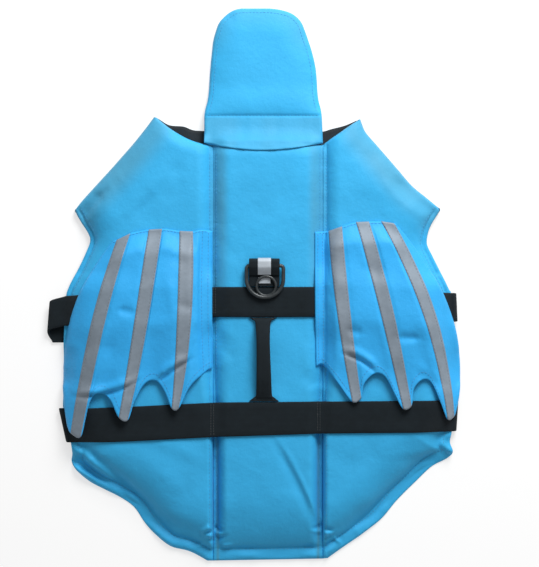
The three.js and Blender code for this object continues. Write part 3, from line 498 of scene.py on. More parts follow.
def fold_height(x, y, folds):
    """Sum of listed folds, each a soft ridge or trough that fades at its ends."""
    height = np.zeros(np.shape(x))
    for n, (x0, y0, x1, y1, bow, half, rise) in enumerate(folds):
        t = np.linspace(0, 1, 7)
        length = math.hypot(x1 - x0, y1 - y0)
        side = bow * 4 * t * (1 - t) / length
        line = np.stack([mix(x0, x1, t) - (y1 - y0) * side, mix(y0, y1, t) + (x1 - x0) * side], 1)
        near = (np.abs(x - (x0 + x1) / 2) < length) & (np.abs(y - (y0 + y1) / 2) < length)
        if not near.any():
            continue
        distance, along = line_distance(x, y, line)
        share = along / length
        ends = smooth(share / 0.3) * smooth((1 - share) / 0.3)
        width = half * (0.75 + 0.35 * ends + 0.15 * noise_line(along, 14, 300 + n))
        height += rise * (0.2 + 0.8 * ends) * bell(distance, 0, width)
    return height


def pucker_height(x, y):
    """Sum of the short puckers at the ends of the seams."""
    height = np.zeros(np.shape(x))
    for x0, y0, length, angle, half, rise in PUCKERS:
        dx = math.cos(math.radians(angle))
        dy = math.sin(math.radians(angle))
        u = (x - x0) * dx + (y - y0) * dy
        v = (y - y0) * dx - (x - x0) * dy
        reach = smooth(u / 3.0 + 0.4) * smooth((length - u) / (0.7 * length))
        height += rise * reach * bell(v, 0, half)
    return height


# Edges of the back as lines of points, by panel and kind.
def side_edges(rows, seam):
    """The edges of a side panel, by kind."""
    inner = curve_at(rows[:, :2], np.linspace(0, LAST_ROW, 160), (SEAM_ROW,))
    outer = curve_at(rows[:, 2:], np.linspace(0, LAST_ROW, 160), (LEG_CORNER_ROW,))
    number = np.linspace(0, LAST_ROW, 160)
    return {
        seam: inner[number >= SEAM_ROW],
        "neck": inner[number <= SEAM_ROW + 0.2],
        "fold": outer[number <= LEG_CORNER_ROW + 0.2],
        "side": outer[(number >= LEG_CORNER_ROW) & (number <= HIP_ROW + 0.3)],
        "hem": np.vstack([outer[number >= HIP_ROW], inner[-1:]]),
    }


left_edges = side_edges(LEFT_ROWS, "seam_left")
right_edges = side_edges(RIGHT_ROWS, "seam_right")
PANELS = {
    "side_panel_left": {
        "edges": left_edges,
        "outline": np.vstack([
            LEFT_ROWS[SEAM_ROW::-1, :2], LEFT_ROWS[:, 2:], LEFT_ROWS[:SEAM_ROW:-1, :2],
        ]),
        "seed": 11,
    },
    "side_panel_right": {
        "edges": right_edges,
        "outline": np.vstack([
            RIGHT_ROWS[SEAM_ROW::-1, :2], RIGHT_ROWS[:, 2:], RIGHT_ROWS[:SEAM_ROW:-1, :2],
        ]),
        "seed": 23,
    },
    "center_panel": {
        "edges": {
            "neck": np.array([(-SEAM_X, NECK_Y), (SEAM_X, NECK_Y)]),
            "tail": np.array([(-SEAM_X, -278.0), (SEAM_X, -276.0)]),
            "seam_left": np.array([(-SEAM_X, NECK_Y), (-SEAM_X, -278.0)]),
            "seam_right": np.array([(SEAM_X, NECK_Y), (SEAM_X, -276.0)]),
        },
        "outline": np.array([(-55, 141), (55, 141), (55, -276), (-55, -278)], float),
        "seed": 37,
    },
}
# Small puckers along each kind of edge: height, reach from the edge, spacing.
EDGE_PUCKERS = {
    "seam": (0.5, 8.0, 7.0),
    "neck": (0.35, 7.0, 8.0),
    "fold": (0.3, 12.0, 16.0),
    "side": (0.5, 9.0, 9.0),
    "hem": (1.0, 15.0, 10.5),
    "tail": (0.6, 12.0, 10.5),
}
SEAM_SEEDS = {"seam_left": 211, "seam_right": 223}
# The rolled hem: middle, half width and height of its ridge, then of the stitched trough.
HEM_RIDGE = (5.6, 3.8, 1.7)
HEM_TROUGH = (13.0, 2.6, -0.9)
HEM_UNEVEN = 17.0
# Greyer, darker cloth along the seams, partly painted shade, and painted shade along the fold edges and
# in the seam valley: full and outer reach from a seam or fold edge, and share.
SEAM_GREY_AND_SHADE = {"center": (8.0, 18.0, 0.8), "side": (0.0, 7.0, 0.5)}
FOLD_SHADE = (12.0, 34.0, 0.95)
VALLEY_SHADE = (4.5, 1.4)


def shoulder(distance, inset, width, keep, roundness):
    """Share of the foam's height at a distance from an edge."""
    t = np.clip((distance - inset) / width, 0.0, 1.0)
    parabola = t * (2 - t)
    ellipse = np.sqrt(np.clip(1 - (1 - t) ** 2, 0.0, 1.0))
    return mix(keep, 1.0, mix(parabola, ellipse, roundness))


def tailward(y):
    """0 where a seam has its shape of the shoulders, 1 where it has that of the tail."""
    first, last = SEAM_CHANGE_Y
    return smooth((first - y) / (first - last))


def seam_shoulder(name, distance, y):
    """The same at a seam, whose valley is deeper towards the tail."""
    upper, lower = SEAM_SHOULDERS["center" if name == "center_panel" else "side"]
    return shoulder(distance, *[mix(a, b, tailward(y)) for a, b in zip(upper, lower)])


def seam_groove(name, distance, y):
    """The rounding of the cloth down into a seam."""
    share = tailward(y) if name != "center_panel" else 0.0
    return mix(*SEAM_GROOVE, share) * (1 - rounded(distance, mix(*SEAM_ROUNDING, share)))


def crumple(x, y):
    """Uneven foam and slack cloth, from broad to fine."""
    broad = 0.8 * noise_sheet(x, y, 44, 11)
    middle = 0.4 * noise_sheet(x + 0.4 * y, y - 0.3 * x, 19, 13)
    fine = 0.13 * noise_sheet(x - 0.5 * y, y + 0.4 * x, 8, 17)
    return broad + middle + fine


def hem_roll(distance, along, seed):
    """The uneven ridge of a rolled hem and the stitched trough behind it."""
    full = 0.6 + 0.6 * noise_line(along, HEM_UNEVEN, seed)
    shift = distance + 1.5 * noise_line(along, HEM_UNEVEN, seed + 1)
    ridge = HEM_RIDGE[2] * bell(shift, *HEM_RIDGE[:2]) * smooth(distance / 3)
    return full * (ridge + HEM_TROUGH[2] * bell(shift, *HEM_TROUGH[:2]))


def panel_height(name, x, y):
    """Height of a back panel's top over the floor, without the rounding at its very edge."""
    panel = PANELS[name]
    within = inside(x, y, panel["outline"])
    pad = np.ones(np.shape(x))
    level = np.ones(np.shape(x))
    extra = np.zeros(np.shape(x))
    for n, (edge, line) in enumerate(panel["edges"].items()):
        kind = edge.split("_")[0]
        distance, along = line_distance(x, y, line)
        distance = np.where(within, distance, 0.0)
        seed = SEAM_SEEDS.get(edge, panel["seed"] + 5 * n)
        rise, reach, spacing = EDGE_PUCKERS[kind]
        wave = 0.7 * noise_line(along, spacing, seed) + 0.3 * noise_line(along, spacing / 2.3, seed + 1)
        extra += rise * wave * bell(distance, 0, reach)
        if kind == "seam":
            share = seam_shoulder(name, distance, y)
            pad *= share
            level *= mix(0.6, 1.0, share)
            extra -= seam_groove(name, distance, y)
            continue
        share = shoulder(distance, *EDGE_SHOULDERS[kind])
        pad *= share
        level *= share
        if kind in ("hem", "tail"):
            extra += hem_roll(distance, along, seed + 2)
    under = under_height(x, y)
    extra += fold_height(x, y, FOLDS) + pucker_height(x, y)
    extra += crumple(x, y) * (0.3 + 0.7 * pad)
    height = mix(under, FOAM_BASE, level) + HEM + FOAM_CROWN * pad + extra
    return np.maximum(height, under + THINNEST)


def grey_and_shade_share(name, x, y):
    """Share of greyer, darker cloth on a back panel: partly painted shade along the seams on the
    shoulders, painted shade along the folded shoulder edges and in the centre's seam valleys towards
    the tail.
    """
    grey_and_shade = np.zeros(np.shape(x))
    middle = name == "center_panel"
    for edge, line in PANELS[name]["edges"].items():
        distance, along = line_distance(x, y, line)
        uneven = 0.8 + 0.2 * noise_line(along, 22, 401)
        # Greyer, darker cloth along the seams, partly painted shade.
        if edge.startswith("seam"):
            near, far, share = SEAM_GREY_AND_SHADE["center" if middle else "side"]
            share = share * uneven * smooth((y + 40) / 60)
            grey_and_shade = np.maximum(grey_and_shade, share * smooth((far - distance) / (far - near)))
            # Painted shade in the centre panel's seam valleys towards the tail.
            if middle:
                row = bell(distance, *VALLEY_SHADE) * smooth((-150 - y) / 10)
                grey_and_shade = np.maximum(grey_and_shade, row)
        # Painted shade along the folded shoulder edges.
        if edge == "fold":
            near, far, share = FOLD_SHADE
            grey_and_shade = np.maximum(grey_and_shade, share * uneven * smooth((far - distance) / (far - near)))
    return grey_and_shade


def back_height(x, y):
    """Height of the whole back at any points, and of the floor of its hem outside it."""
    x = np.asarray(x, float)
    y = np.asarray(y, float)
    left = x < -SEAM_X
    right = x > SEAM_X
    height = np.empty(x.shape)
    for name, chosen in (
        ("side_panel_left", left),
        ("side_panel_right", right),
        ("center_panel", ~(left | right)),
    ):
        if chosen.any():
            height[chosen] = panel_height(name, x[chosen], y[chosen])
    return height


# Meshes.
def grid_solid(name, lower, upper, materials, underside=0):
    """A closed smooth mesh between two grids of points in garment millimetres."""
    rows, columns = upper.shape[:2]
    points = np.vstack([upper.reshape(-1, 3), lower.reshape(-1, 3)])
    count = rows * columns
    faces = []
    slots = []
    for j in range(rows - 1):
        for i in range(columns - 1):
            a = j * columns + i
            quad = (a, a + columns, a + columns + 1, a + 1)
            faces.append(quad)
            slots.append(0)
            faces.append(tuple(count + k for k in reversed(quad)))
            slots.append(underside)
    number = np.arange(count).reshape(rows, columns)
    rim = [*number[0], *number[1:, -1], *number[-1, -2::-1], *number[-2:0:-1, 0]]
    for a, b in zip(rim, rim[1:] + rim[:1]):
        faces.append((a, b, count + b, count + a))
        slots.append(0)
    return finish_mesh(name, points, faces, materials, slots)


def finish_mesh(name, points, faces, materials, slots=None):
    """A smooth object from points in garment millimetres, its faces turned outwards."""
    mesh = bpy.data.meshes.new(name)
    mesh.from_pydata(place(points).tolist(), [], [tuple(int(k) for k in f) for f in faces])
    for material in materials:
        mesh.materials.append(material)
    if slots is not None:
        mesh.polygons.foreach_set("material_index", slots)
    mesh.polygons.foreach_set("use_smooth", [True] * len(faces))
    mesh.validate()
    mesh.update()
    if mesh_volume(mesh) < 0:
        mesh.flip_normals()
    piece = bpy.data.objects.new(name, mesh)
    bpy.context.scene.collection.objects.link(piece)
    return piece


def tint(piece, grey_and_shade):
    """Keeps the share of greyer cloth and painted shade on the upper face of a grid solid."""
    layer = piece.data.attributes.new("grey_and_shade", "FLOAT", "POINT")
    values = np.zeros(len(piece.data.vertices))
    values[:grey_and_shade.size] = grey_and_shade.ravel()
    layer.data.foreach_set("value", values)


def mesh_volume(mesh):
    """Signed volume of a closed mesh."""
    mesh.calc_loop_triangles()
    count = len(mesh.loop_triangles)
    corners = np.empty(count * 3, int)
    mesh.loop_triangles.foreach_get("vertices", corners)
    points = np.empty(len(mesh.vertices) * 3)
    mesh.vertices.foreach_get("co", points)
    a, b, c = points.reshape(-1, 3)[corners].reshape(-1, 3, 3).transpose(1, 0, 2)
    return float(np.einsum("ij,ij->i", a, np.cross(b, c)).sum() / 6)


def dress(piece, nodes, body=BODY):
    """Joins a piece to its body, and hides the nodes that it replaces."""
    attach(piece, body)
    if nodes:
        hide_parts(*nodes)
    return piece


# Materials.
class Nodes:
    """A material's node tree with short calls to add and join nodes."""

    def __init__(self, name):
        self.material = bpy.data.materials.new(name)
        self.material.use_nodes = True
        self.tree = self.material.node_tree
        self.shader = self.tree.nodes["Principled BSDF"]
        self.place = self.add("ShaderNodeTexCoord").outputs["Object"]

    def add(self, kind, **values):
        """A new node, with its settings and then its inputs set by name."""
        node = self.tree.nodes.new(kind)
        for key, value in values.items():
            if hasattr(node, key):
                setattr(node, key, value)
            else:
                node.inputs[key.replace("_", " ")].default_value = value
        return node

    def join(self, output, node, name):
        self.tree.links.new(output, node.inputs[name])

    def noise(self, scale, detail=2.0, roughness=0.5, stretch=None):
        node = self.add("ShaderNodeTexNoise", Scale=scale, Detail=detail, Roughness=roughness)
        self.join(self.mapped("Scale", stretch) if stretch else self.place, node, "Vector")
        return node.outputs["Fac"]

    def mapped(self, kind, value):
        """The object's own coordinates, stretched or turned."""
        node = self.add("ShaderNodeMapping")
        node.inputs[kind].default_value = value
        self.join(self.place, node, "Vector")
        return node.outputs["Vector"]

    def wave(self, direction, scale, distortion, turn=0.0):
        node = self.add("ShaderNodeTexWave", bands_direction=direction)
        node.inputs["Scale"].default_value = scale
        node.inputs["Distortion"].default_value = distortion
        self.join(self.mapped("Rotation", (0, 0, turn)) if turn else self.place, node, "Vector")
        return node.outputs["Fac"]

    def math(self, operation, a, b):
        node = self.add("ShaderNodeMath", operation=operation)
        for k, value in enumerate((a, b)):
            if isinstance(value, (int, float)):
                node.inputs[k].default_value = value
            else:
                self.tree.links.new(value, node.inputs[k])
        return node.outputs[0]

    def mixed(self, a, b, share):
        """Two patterns added, the second one by its share."""
        first = self.math("MULTIPLY", a, 1 - share)
        return self.math("ADD", first, self.math("MULTIPLY", b, share))

    def shades(self, source, color, low, high, first=0.3, last=0.7):
        """A ramp between two shades of one colour."""
        return self.ramp(source, [(first, shade(color, low)), (last, shade(color, high))])

    def ramp(self, source, stops):
        """A pattern turned into colours, as (position, colour) stops."""
        node = self.add("ShaderNodeValToRGB")
        elements = node.color_ramp.elements
        while len(elements) < len(stops):
            elements.new(0.5)
        for element, (position, color) in zip(elements, stops):
            element.position = position
            element.color = (*color, 1.0)
        self.join(source, node, "Fac")
        return node.outputs["Color"]

    def attribute(self, name):
        """A value kept on the mesh."""
        return self.add("ShaderNodeAttribute", attribute_name=name).outputs["Fac"]

    def blend(self, share, color, other):
        """A colour that turns to another one by a share."""
        node = self.add("ShaderNodeMix", data_type="RGBA")
        self.tree.links.new(share, node.inputs[0])
        self.tree.links.new(color, node.inputs[6])
        node.inputs[7].default_value = (*other, 1.0)
        return node.outputs[2]

    def range(self, source, low, high):
        """A pattern stretched to run from low to high."""
        node = self.add("ShaderNodeMapRange")
        node.inputs["To Min"].default_value = low
        node.inputs["To Max"].default_value = high
        self.join(source, node, "Value")
        return node.outputs["Result"]

    def bump(self, layers):
        """Bump layers as (height, distance in metres, strength), finest last."""
        normal = None
        for height, distance, strength in layers:
            node = self.add("ShaderNodeBump", Strength=strength, Distance=distance)
            self.join(height, node, "Height")
            if normal is not None:
                self.join(normal, node, "Normal")
            normal = node.outputs["Normal"]
        self.join(normal, self.shader, "Normal")

    def finish(self, **values):
        """Sets the shader's own values, named with low lines for spaces."""
        for key, value in values.items():
            self.shader.inputs[key.replace("_", " ")].default_value = value
        return self.material

    def weave(self, threads):
        """Plain weave of crossing threads: threads is the number per metre."""
        scale = threads * math.pi / 10
        warp = self.wave("X", scale, 0.4)
        weft = self.wave("Y", scale, 0.4)
        return self.math("MULTIPLY", warp, weft)


def shade(color, factor):
    """A lighter or darker shade of a colour."""
    return tuple(min(1.0, c * factor) for c in color)


def woven_cloth(name, color, threads=1500, rough=0.55, mottling=0.05, grey_and_shade=None):
    """Tightly woven nylon with a soft sheen, a little uneven in colour."""
    n = Nodes(name)
    broad = n.noise(26.0, 3.0, 0.55)
    fine = n.noise(900.0, 2.0, 0.6, (1.0, 0.25, 1.0))
    shown = n.shades(n.mixed(broad, fine, 0.25), color, 1 - mottling, 1 + mottling)
    # A greyer, darker colour mixed in by the mesh's share of painted shade and greyer cloth.
    if grey_and_shade:
        shown = n.blend(n.attribute("grey_and_shade"), shown, grey_and_shade)
    n.join(shown, n.shader, "Base Color")
    n.join(n.range(n.noise(60.0, 3.0), rough - 0.06, rough + 0.06), n.shader, "Roughness")
    crinkle = n.noise(210.0, 4.0, 0.62)
    n.bump([(crinkle, 0.0008, 0.45), (n.weave(threads), 0.00012, 0.5)])
    return n.finish(Sheen_Weight=0.05, Sheen_Roughness=0.4, Specular_IOR_Level=0.2)


def webbing_cloth(name, color, along="X"):
    """Flat woven webbing: ribs across its length in a low herringbone."""
    n = Nodes(name)
    rib = n.wave(along, 330.0, 0.6)
    cross = n.wave("Y" if along == "X" else "X", 260.0, 1.2)
    weave = n.mixed(rib, cross, 0.35)
    dust = n.noise(140.0, 4.0, 0.6)
    shown = n.shades(n.mixed(weave, dust, 0.6), color, 0.75, 1.35, 0.25, 0.75)
    n.join(shown, n.shader, "Base Color")
    n.bump([(dust, 0.0004, 0.25), (weave, 0.0004, 0.7)])
    return n.finish(Roughness=0.8, Sheen_Weight=0.05, Specular_IOR_Level=0.2)


def tape_material(name, color, rough=0.6, metal=0.15):
    """Reflective tape: fine glass beads on a grey backing, faintly creased."""
    n = Nodes(name)
    beads = n.add("ShaderNodeTexVoronoi", Scale=2600.0)
    n.join(n.place, beads, "Vector")
    creases = n.noise(120.0, 5.0, 0.65)
    n.join(n.shades(creases, color, 0.9, 1.1), n.shader, "Base Color")
    n.join(n.range(creases, rough - 0.06, rough + 0.1), n.shader, "Roughness")
    n.bump([(creases, 0.0004, 0.3), (beads.outputs["Distance"], 0.0001, 0.4)])
    return n.finish(Metallic=metal)


def ring_material():
    """Dark coated metal, rubbed a little smoother in places."""
    n = Nodes("ring_metal")
    wear = n.noise(240.0, 4.0, 0.6)
    stops = [(0.3, (0.02, 0.026, 0.029)), (0.75, (0.05, 0.06, 0.065))]
    n.join(n.ramp(wear, stops), n.shader, "Base Color")
    n.join(n.range(wear, 0.34, 0.5), n.shader, "Roughness")
    n.bump([(n.noise(900.0, 2.0), 0.00008, 0.3)])
    return n.finish(Metallic=0.3, Coat_Weight=0.15)


def thread_material(name, color):
    """Twisted sewing thread."""
    n = Nodes(name)
    twist = n.wave("X", 900.0, 1.0, 0.7)
    n.join(n.shades(twist, color, 0.8, 1.15, 0.2, 0.8), n.shader, "Base Color")
    n.bump([(twist, 0.0001, 0.5)])
    return n.finish(Roughness=0.6, Sheen_Weight=0.3)


# Colours, as the share of red, green and blue light that they send back.
SKY = (0.04, 0.42, 0.775)
AZURE = (0.036, 0.41, 0.85)
# A greyer, darker blue: painted shade in the seam valleys, along the folds and on the flap's band, and
# greyer cloth along the seams.
GREYED_AND_SHADED = (0.07, 0.33, 0.52)
BLACK = (0.0068, 0.0122, 0.0162)
body_cloth = woven_cloth("sky_cloth", SKY, grey_and_shade=GREYED_AND_SHADED)
wing_cloth = woven_cloth("azure_cloth", AZURE, rough=0.5)
LINING = (0.02, 0.024, 0.028)
lining_cloth = woven_cloth("black_lining", LINING, threads=700, rough=0.8, mottling=0.2)
webbing = webbing_cloth("webbing", BLACK, "X")
webbing_down = webbing_cloth("webbing_down", BLACK, "Y")
grey_tape = tape_material("grey_tape", (0.225, 0.275, 0.33))
silver_stripe = tape_material("silver_stripe", (0.42, 0.47, 0.52), 0.5, 0.1)
ring_metal = ring_material()
sky_thread = thread_material("sky_thread", shade(SKY, 0.8))
azure_thread = thread_material("azure_thread", shade(AZURE, 0.75))
grey_thread = thread_material("grey_thread", (0.16, 0.19, 0.22))
black_thread = thread_material("black_thread", (0.022, 0.03, 0.034))


# Pieces.
def crowded(count, edge_steps):
    """Shares from 0 to 1 that crowd towards both ends."""
    t = np.linspace(0, 1, count)
    t = t - 0.5 * np.sin(2 * math.pi * t) / (2 * math.pi)
    return np.array(sorted([*t, *edge_steps, *[1 - e for e in edge_steps]]))


def padded_panel(name, x, y, base):
    """A closed padded panel over its base, with rounded hems and flush seams."""
    edges = PANELS[name]["edges"]
    free = [line for edge, line in edges.items() if not edge.startswith("seam")]
    rim = np.minimum.reduce([line_distance(x, y, line)[0] for line in free])
    top = base + (panel_height(name, x, y) - base) * rim_share(rim, *PANEL_RIM)
    lower = np.stack([x, y, base], 2)
    upper = np.stack([x, y, np.maximum(top, base + 0.3)], 2)
    panel = grid_solid(name + "_shell", lower, upper, [body_cloth, lining_cloth], underside=1)
    # Painted shade and greyer cloth, kept on the mesh for the cloth's colour.
    tint(panel, grey_and_shade_share(name, x, y))
    dress(panel, [name])


def side_panel(name, rows):
    """One padded side panel, with its fold edge rolled down over the chest flap."""
    numbers = spaced(SIDE_GRID[0], 0, LAST_ROW, (0.05, 0.12))
    inner = curve_at(rows[:, :2], numbers, (SEAM_ROW,))
    outer = curve_at(rows[:, 2:], numbers, (LEG_CORNER_ROW,))
    sign = -1 if name.endswith("left") else 1
    inner[:, 0] += sign * SEAM_GAP
    shares = crowded(SIDE_GRID[1], (0.0025, 0.0075))
    x = mix(inner[:, None, 0], outer[:, None, 0], shares[None, :])
    y = mix(inner[:, None, 1], outer[:, None, 1], shares[None, :])
    fold, _ = line_distance(x, y, PANELS[name]["edges"]["fold"])
    padded_panel(name, x, y, under_height(x, y) * smooth((fold - 1.0) / 2.5))


def centre_panel():
    """The padded middle of the back, between its two seams."""
    numbers = spaced(CENTRE_GRID[0], SEAM_ROW, LAST_ROW, (0.04, 0.1, 0.22))
    left = curve_at(LEFT_ROWS[:, :2], numbers, (SEAM_ROW,))
    right = curve_at(RIGHT_ROWS[:, :2], numbers, (SEAM_ROW,))
    shares = crowded(CENTRE_GRID[1], (0.003, 0.008))
    x = mix(left[:, None, 0] + SEAM_GAP, right[:, None, 0] - SEAM_GAP, shares[None, :])
    y = mix(left[:, None, 1], right[:, None, 1], shares[None, :])
    padded_panel("center_panel", x, y, under_height(x, y))


def chest_grid(table):
    """Points of a chest flap from its neck edge to its leg edge, drawn in at the fold."""
    rows, count = CHEST_GRID
    columns = curve_at(table, np.linspace(0, len(table) - 1, count))
    t = np.linspace(0, 1, rows)[:, None]
    x = mix(columns[None, :, 0], columns[None, :, 2], t)
    y = mix(columns[None, :, 1], columns[None, :, 3], t)
    sign = -1 if table[0, 0] < 0 else 1
    share = np.linspace(1, 0, count)[None, :] ** 3
    inset = CHEST_SLANT * (CHEST_BOW[sign] * 4 * t * (1 - t) + CHEST_INSET) * share
    return x - sign * inset, y - inset * smooth(t * 8)


def chest(side, table, lap):
    """A folded chest flap: blue shell on the floor and black lining that shows at the neck."""
    x, y = chest_grid(table)
    base = lap(x)
    wave = noise_sum(x, y, LINING_WAVES)
    layers = (
        (f"chest_flap_{side}", 0.0, body_cloth, "body_cloth", 0.0),
        (f"chest_lining_{side}", SHELL + CLEAR, lining_cloth, "lining", 1.0),
    )
    for node, lift, material, slot, waves in layers:
        lower = np.stack([x, y, base + lift], 2)
        upper = np.stack([x, y, base + lift + SHELL + waves * np.minimum(wave, 0.25)], 2)
        piece = grid_solid(node + "_cloth", lower, upper, [material])
        dress(piece, [node])


def lap_height(x):
    """How far the right chest flap lies up on the left one."""
    first, length = LAP_CLIMB
    return CHEST_LIFT * smooth((first - x) / length)


def flap_base(x, y):
    """What the head flap lies on: neck edge, folded linings, then the floor."""
    lift, first, length = FLAP_RAMP
    ramp = lift * smooth((first - y) / length)
    neck = back_height(x, np.minimum(y, NECK_Y - 0.5)) + 0.6
    over = smooth((NECK_Y + 14 - y) / 14)
    return drape(np.maximum(ramp, mix(ramp, neck, over)), FLAP_PASSES)


def flap_shade_and_grey(x, y, edge):
    """Share of painted shade on the head flap's band, below its foam, and of greyer, darker cloth round
    its end.
    """
    # Painted shade on the band, below the foam.
    band = FLAP_BAND_SHADE * smooth((FLAP_STITCH_Y - y) / 4) * (0.8 + 0.2 * noise_line(x, 12, 95))
    # Greyer, darker cloth round the flap's end.
    share, reach, first = FLAP_END_GREYER
    end = share * smooth((reach - edge) / reach) * smooth((y - first) / 30)
    return np.maximum(band, end)


def head_flap():
    """Foam filled head float, with a flat band at its root below a row of stitches."""
    numbers = spaced(FLAP_GRID[0], 0, len(FLAP_ROWS) - 1, (0.05, 0.12, 0.25))
    rows = curve_at(FLAP_ROWS, numbers)
    shares = crowded(FLAP_GRID[1], (0.003, 0.008))
    x = mix(rows[:, None, 1], rows[:, None, 2], shares[None, :])
    y = rows[:, None, 0] - rows[:, None, 3] * 4 * shares * (1 - shares)
    edge, along = line_distance(x, y, rim_line(x, y))
    above = y - FLAP_STITCH_Y
    head = shoulder(edge, *FLAP_SHOULDER) * shoulder(above, *FLAP_ROOT_SHOULDER)
    wrinkles = 0.45 * noise_line(x, 8.5, 92) * bell(above, -12, 16)
    wrinkles += 0.5 * noise_line(along, 8, 91) * bell(edge, 0, 7)
    groove = FLAP_GROOVE[0] * bell(above, 0, FLAP_GROOVE[1])
    broad = noise_sum(x, y, FLAP_WAVES)
    base = flap_base(x, y)
    thin = FLAP_BAND_THIN[0] * np.clip(-above / FLAP_BAND_THIN[1], 0, 1)
    full = HEM + 1.0 + FLAP_CROWN * head + wrinkles - groove - thin + broad * (0.3 + head)
    top = base + np.maximum(full, THINNEST) * rim_share(edge, *FLAP_RIM)
    lower = np.stack([x, y, base], 2)
    upper = np.stack([x, y, top], 2)
    flap = grid_solid("head_float_shell", lower, upper, [body_cloth, lining_cloth], underside=1)
    tint(flap, flap_shade_and_grey(x, y, edge))
    dress(flap, ["head_float_flap"])
    return upper


# Belts.
UPPER_BELT = {
    "top": (
        (-203, -11), (-150, -7.5), (-90, -3.6), (-55, -2),
        (0, -2), (55, -2), (110, -4.5), (184, -8),
    ),
    "low": (
        (-205, -41), (-150, -37.5), (-90, -33.6), (-55, -32),
        (0, -32), (55, -32), (110, -34), (185, -37),
    ),
}
LOWER_BELT = {
    "top": (
        (-206, -124), (-135, -121), (-55, -117.3), (0, -116.5),
        (55, -116), (120, -115.5), (187, -115),
    ),
    "low": (
        (-198.5, -158), (-135, -155.5), (-55, -151.5), (0, -149.7),
        (55, -148), (120, -147.3), (185, -147),
    ),
}
BELT_STEPS = 150
BELT_WIDTH = 31.0
BEND_STEPS = 14
# Where a belt's left and right laps end beneath, and where the right one climbs the left.
LAP_ENDS = {-1: 40.0, 1: -22.0}
BELT_CLIMB = (62.0, 14.0)
# How far beside a belt a wing is still raised by it.
BELT_RAMP = 24.0


def belt_height(x, y):
    """Height of a belt's underside over the back: it bridges small dips."""
    support = back_height(x, y)
    taut = support.copy()
    for _ in range(BELT_PASSES):
        middle = (taut[:, :-2] + taut[:, 2:]) / 2
        taut[:, 1:-1] = np.maximum(support[:, 1:-1], middle)
    return taut + CLEAR


def belt_run(table):
    """A belt's underside over the back, from side to side, and its thickness across."""
    top = curve_at(table["top"], np.linspace(0, len(table["top"]) - 1, BELT_STEPS))
    low = curve_at(table["low"], np.linspace(0, len(table["low"]) - 1, BELT_STEPS))
    across = spaced(7, 0, 1, (0.012, 0.035))[:, None]
    x = mix(top[None, :, 0], low[None, :, 0], across)
    y = mix(top[None, :, 1], low[None, :, 1], across)
    edge = np.minimum(across, 1 - across) * BELT_WIDTH
    return np.stack([x, y, belt_height(x, y)], 2), WEB * rim_share(edge, *BELT_RIM)


def belt_end(start, thick, sign, far, skew):
    """Inner and outer faces of a belt's end, bent round beneath and laid to its lap."""
    x0, y0, z0 = start.T
    radius = (z0 - WEB) / 2
    inner = []
    outer = []
    for k in range(1, BEND_STEPS + 1):
        angle = math.pi * k / BEND_STEPS
        x = x0 + sign * (far * smooth(k / 5) + radius * math.sin(angle))
        y = y0 - skew * (k / BEND_STEPS) ** 1.2
        z = WEB + radius + radius * math.cos(angle)
        out = sign * thick * math.sin(angle)
        inner.append(np.stack([x, y, z], 1))
        outer.append(np.stack([x + out, y, z + thick * math.cos(angle)], 1))
    bent_x, bent_y, _ = inner[-1].T
    first, length = BELT_CLIMB
    for stop in (0.25, 0.5, 0.75, 1.0):
        x = mix(bent_x, LAP_ENDS[sign], stop)
        climb = smooth((first - x) / length) if sign > 0 else 0 * x
        z = WEB + (WEB + CLEAR) * climb
        inner.append(np.stack([x, bent_y, z], 1))
        outer.append(np.stack([x, bent_y, z - thick], 1))
    if sign < 0:
        inner.reverse()
        outer.reverse()
    return np.stack(inner, 1), np.stack(outer, 1)


def belt(name, table, reach, skew):
    """One webbing: left lap and bend, the run over the back, right bend and lap."""
    run, full = belt_run(table)
    over = run + full[:, :, None] * UP
    left = belt_end(run[:, 0], full[:, 0], -1, reach[0], skew)
    right = belt_end(run[:, -1], full[:, 0], 1, reach[1], 0.0)
    inner = np.concatenate([left[0], run, right[0]], 1)
    outer = np.concatenate([left[1], over, right[1]], 1)
    strap = grid_solid(name + "_webbing", inner, outer, [webbing])
    dress(strap, [name])
    return over


def over_belts(x, y, height, belts):
    """A height raised over the belts that run below it."""
    for top in belts:
        crest = np.interp(x, top[0, :, 0], top[:, :, 2].max(0))
        high = np.interp(x, top[0, :, 0], top[0, :, 1])
        deep = np.interp(x, top[-1, :, 0], top[-1, :, 1])
        share = smooth((high - y) / BELT_RAMP + 1) * smooth((y - deep) / BELT_RAMP + 1)
        height = np.maximum(height, mix(height, crest, share))
    return height


# Wings.
def wing_points(table, across, down):
    """Points of a wing: across is a row number of its table, down runs from 0 to 1."""
    columns = curve_at(table, across)
    t = np.asarray(down)[:, None]
    a = 2 * (t - 0.5) * (t - 1)
    b = 4 * t * (1 - t)
    c = 2 * t * (t - 0.5)
    x = a * columns[None, :, 0] + b * columns[None, :, 2] + c * columns[None, :, 4]
    y = a * columns[None, :, 1] + b * columns[None, :, 3] + c * columns[None, :, 5]
    return x, y


def drape(support, passes):
    """Upper envelope of a support that spans its dips as taut cloth does."""
    taut = support.copy()
    for _ in range(passes):
        mean = (taut[:-2, 1:-1] + taut[2:, 1:-1] + taut[1:-1, :-2] + taut[1:-1, 2:]) / 4
        taut[1:-1, 1:-1] = np.maximum(support[1:-1, 1:-1], mean)
    return taut


def wing_rise(sewn, u, v, last):
    """How a wing puffs up from its sewn edges, as a share and as a height."""
    slope = np.clip(sewn / WING_SLOPE, 0.0, 1.0)
    puff = np.where(u > 1, slope * (1.4 - 0.4 * slope), 0.0)
    puff = puff * smooth((last - u) / 2.2) * smooth(v / 0.14)
    return puff, WING_RISE * puff * (1 - 0.45 * smooth((v - 0.55) / 0.45))


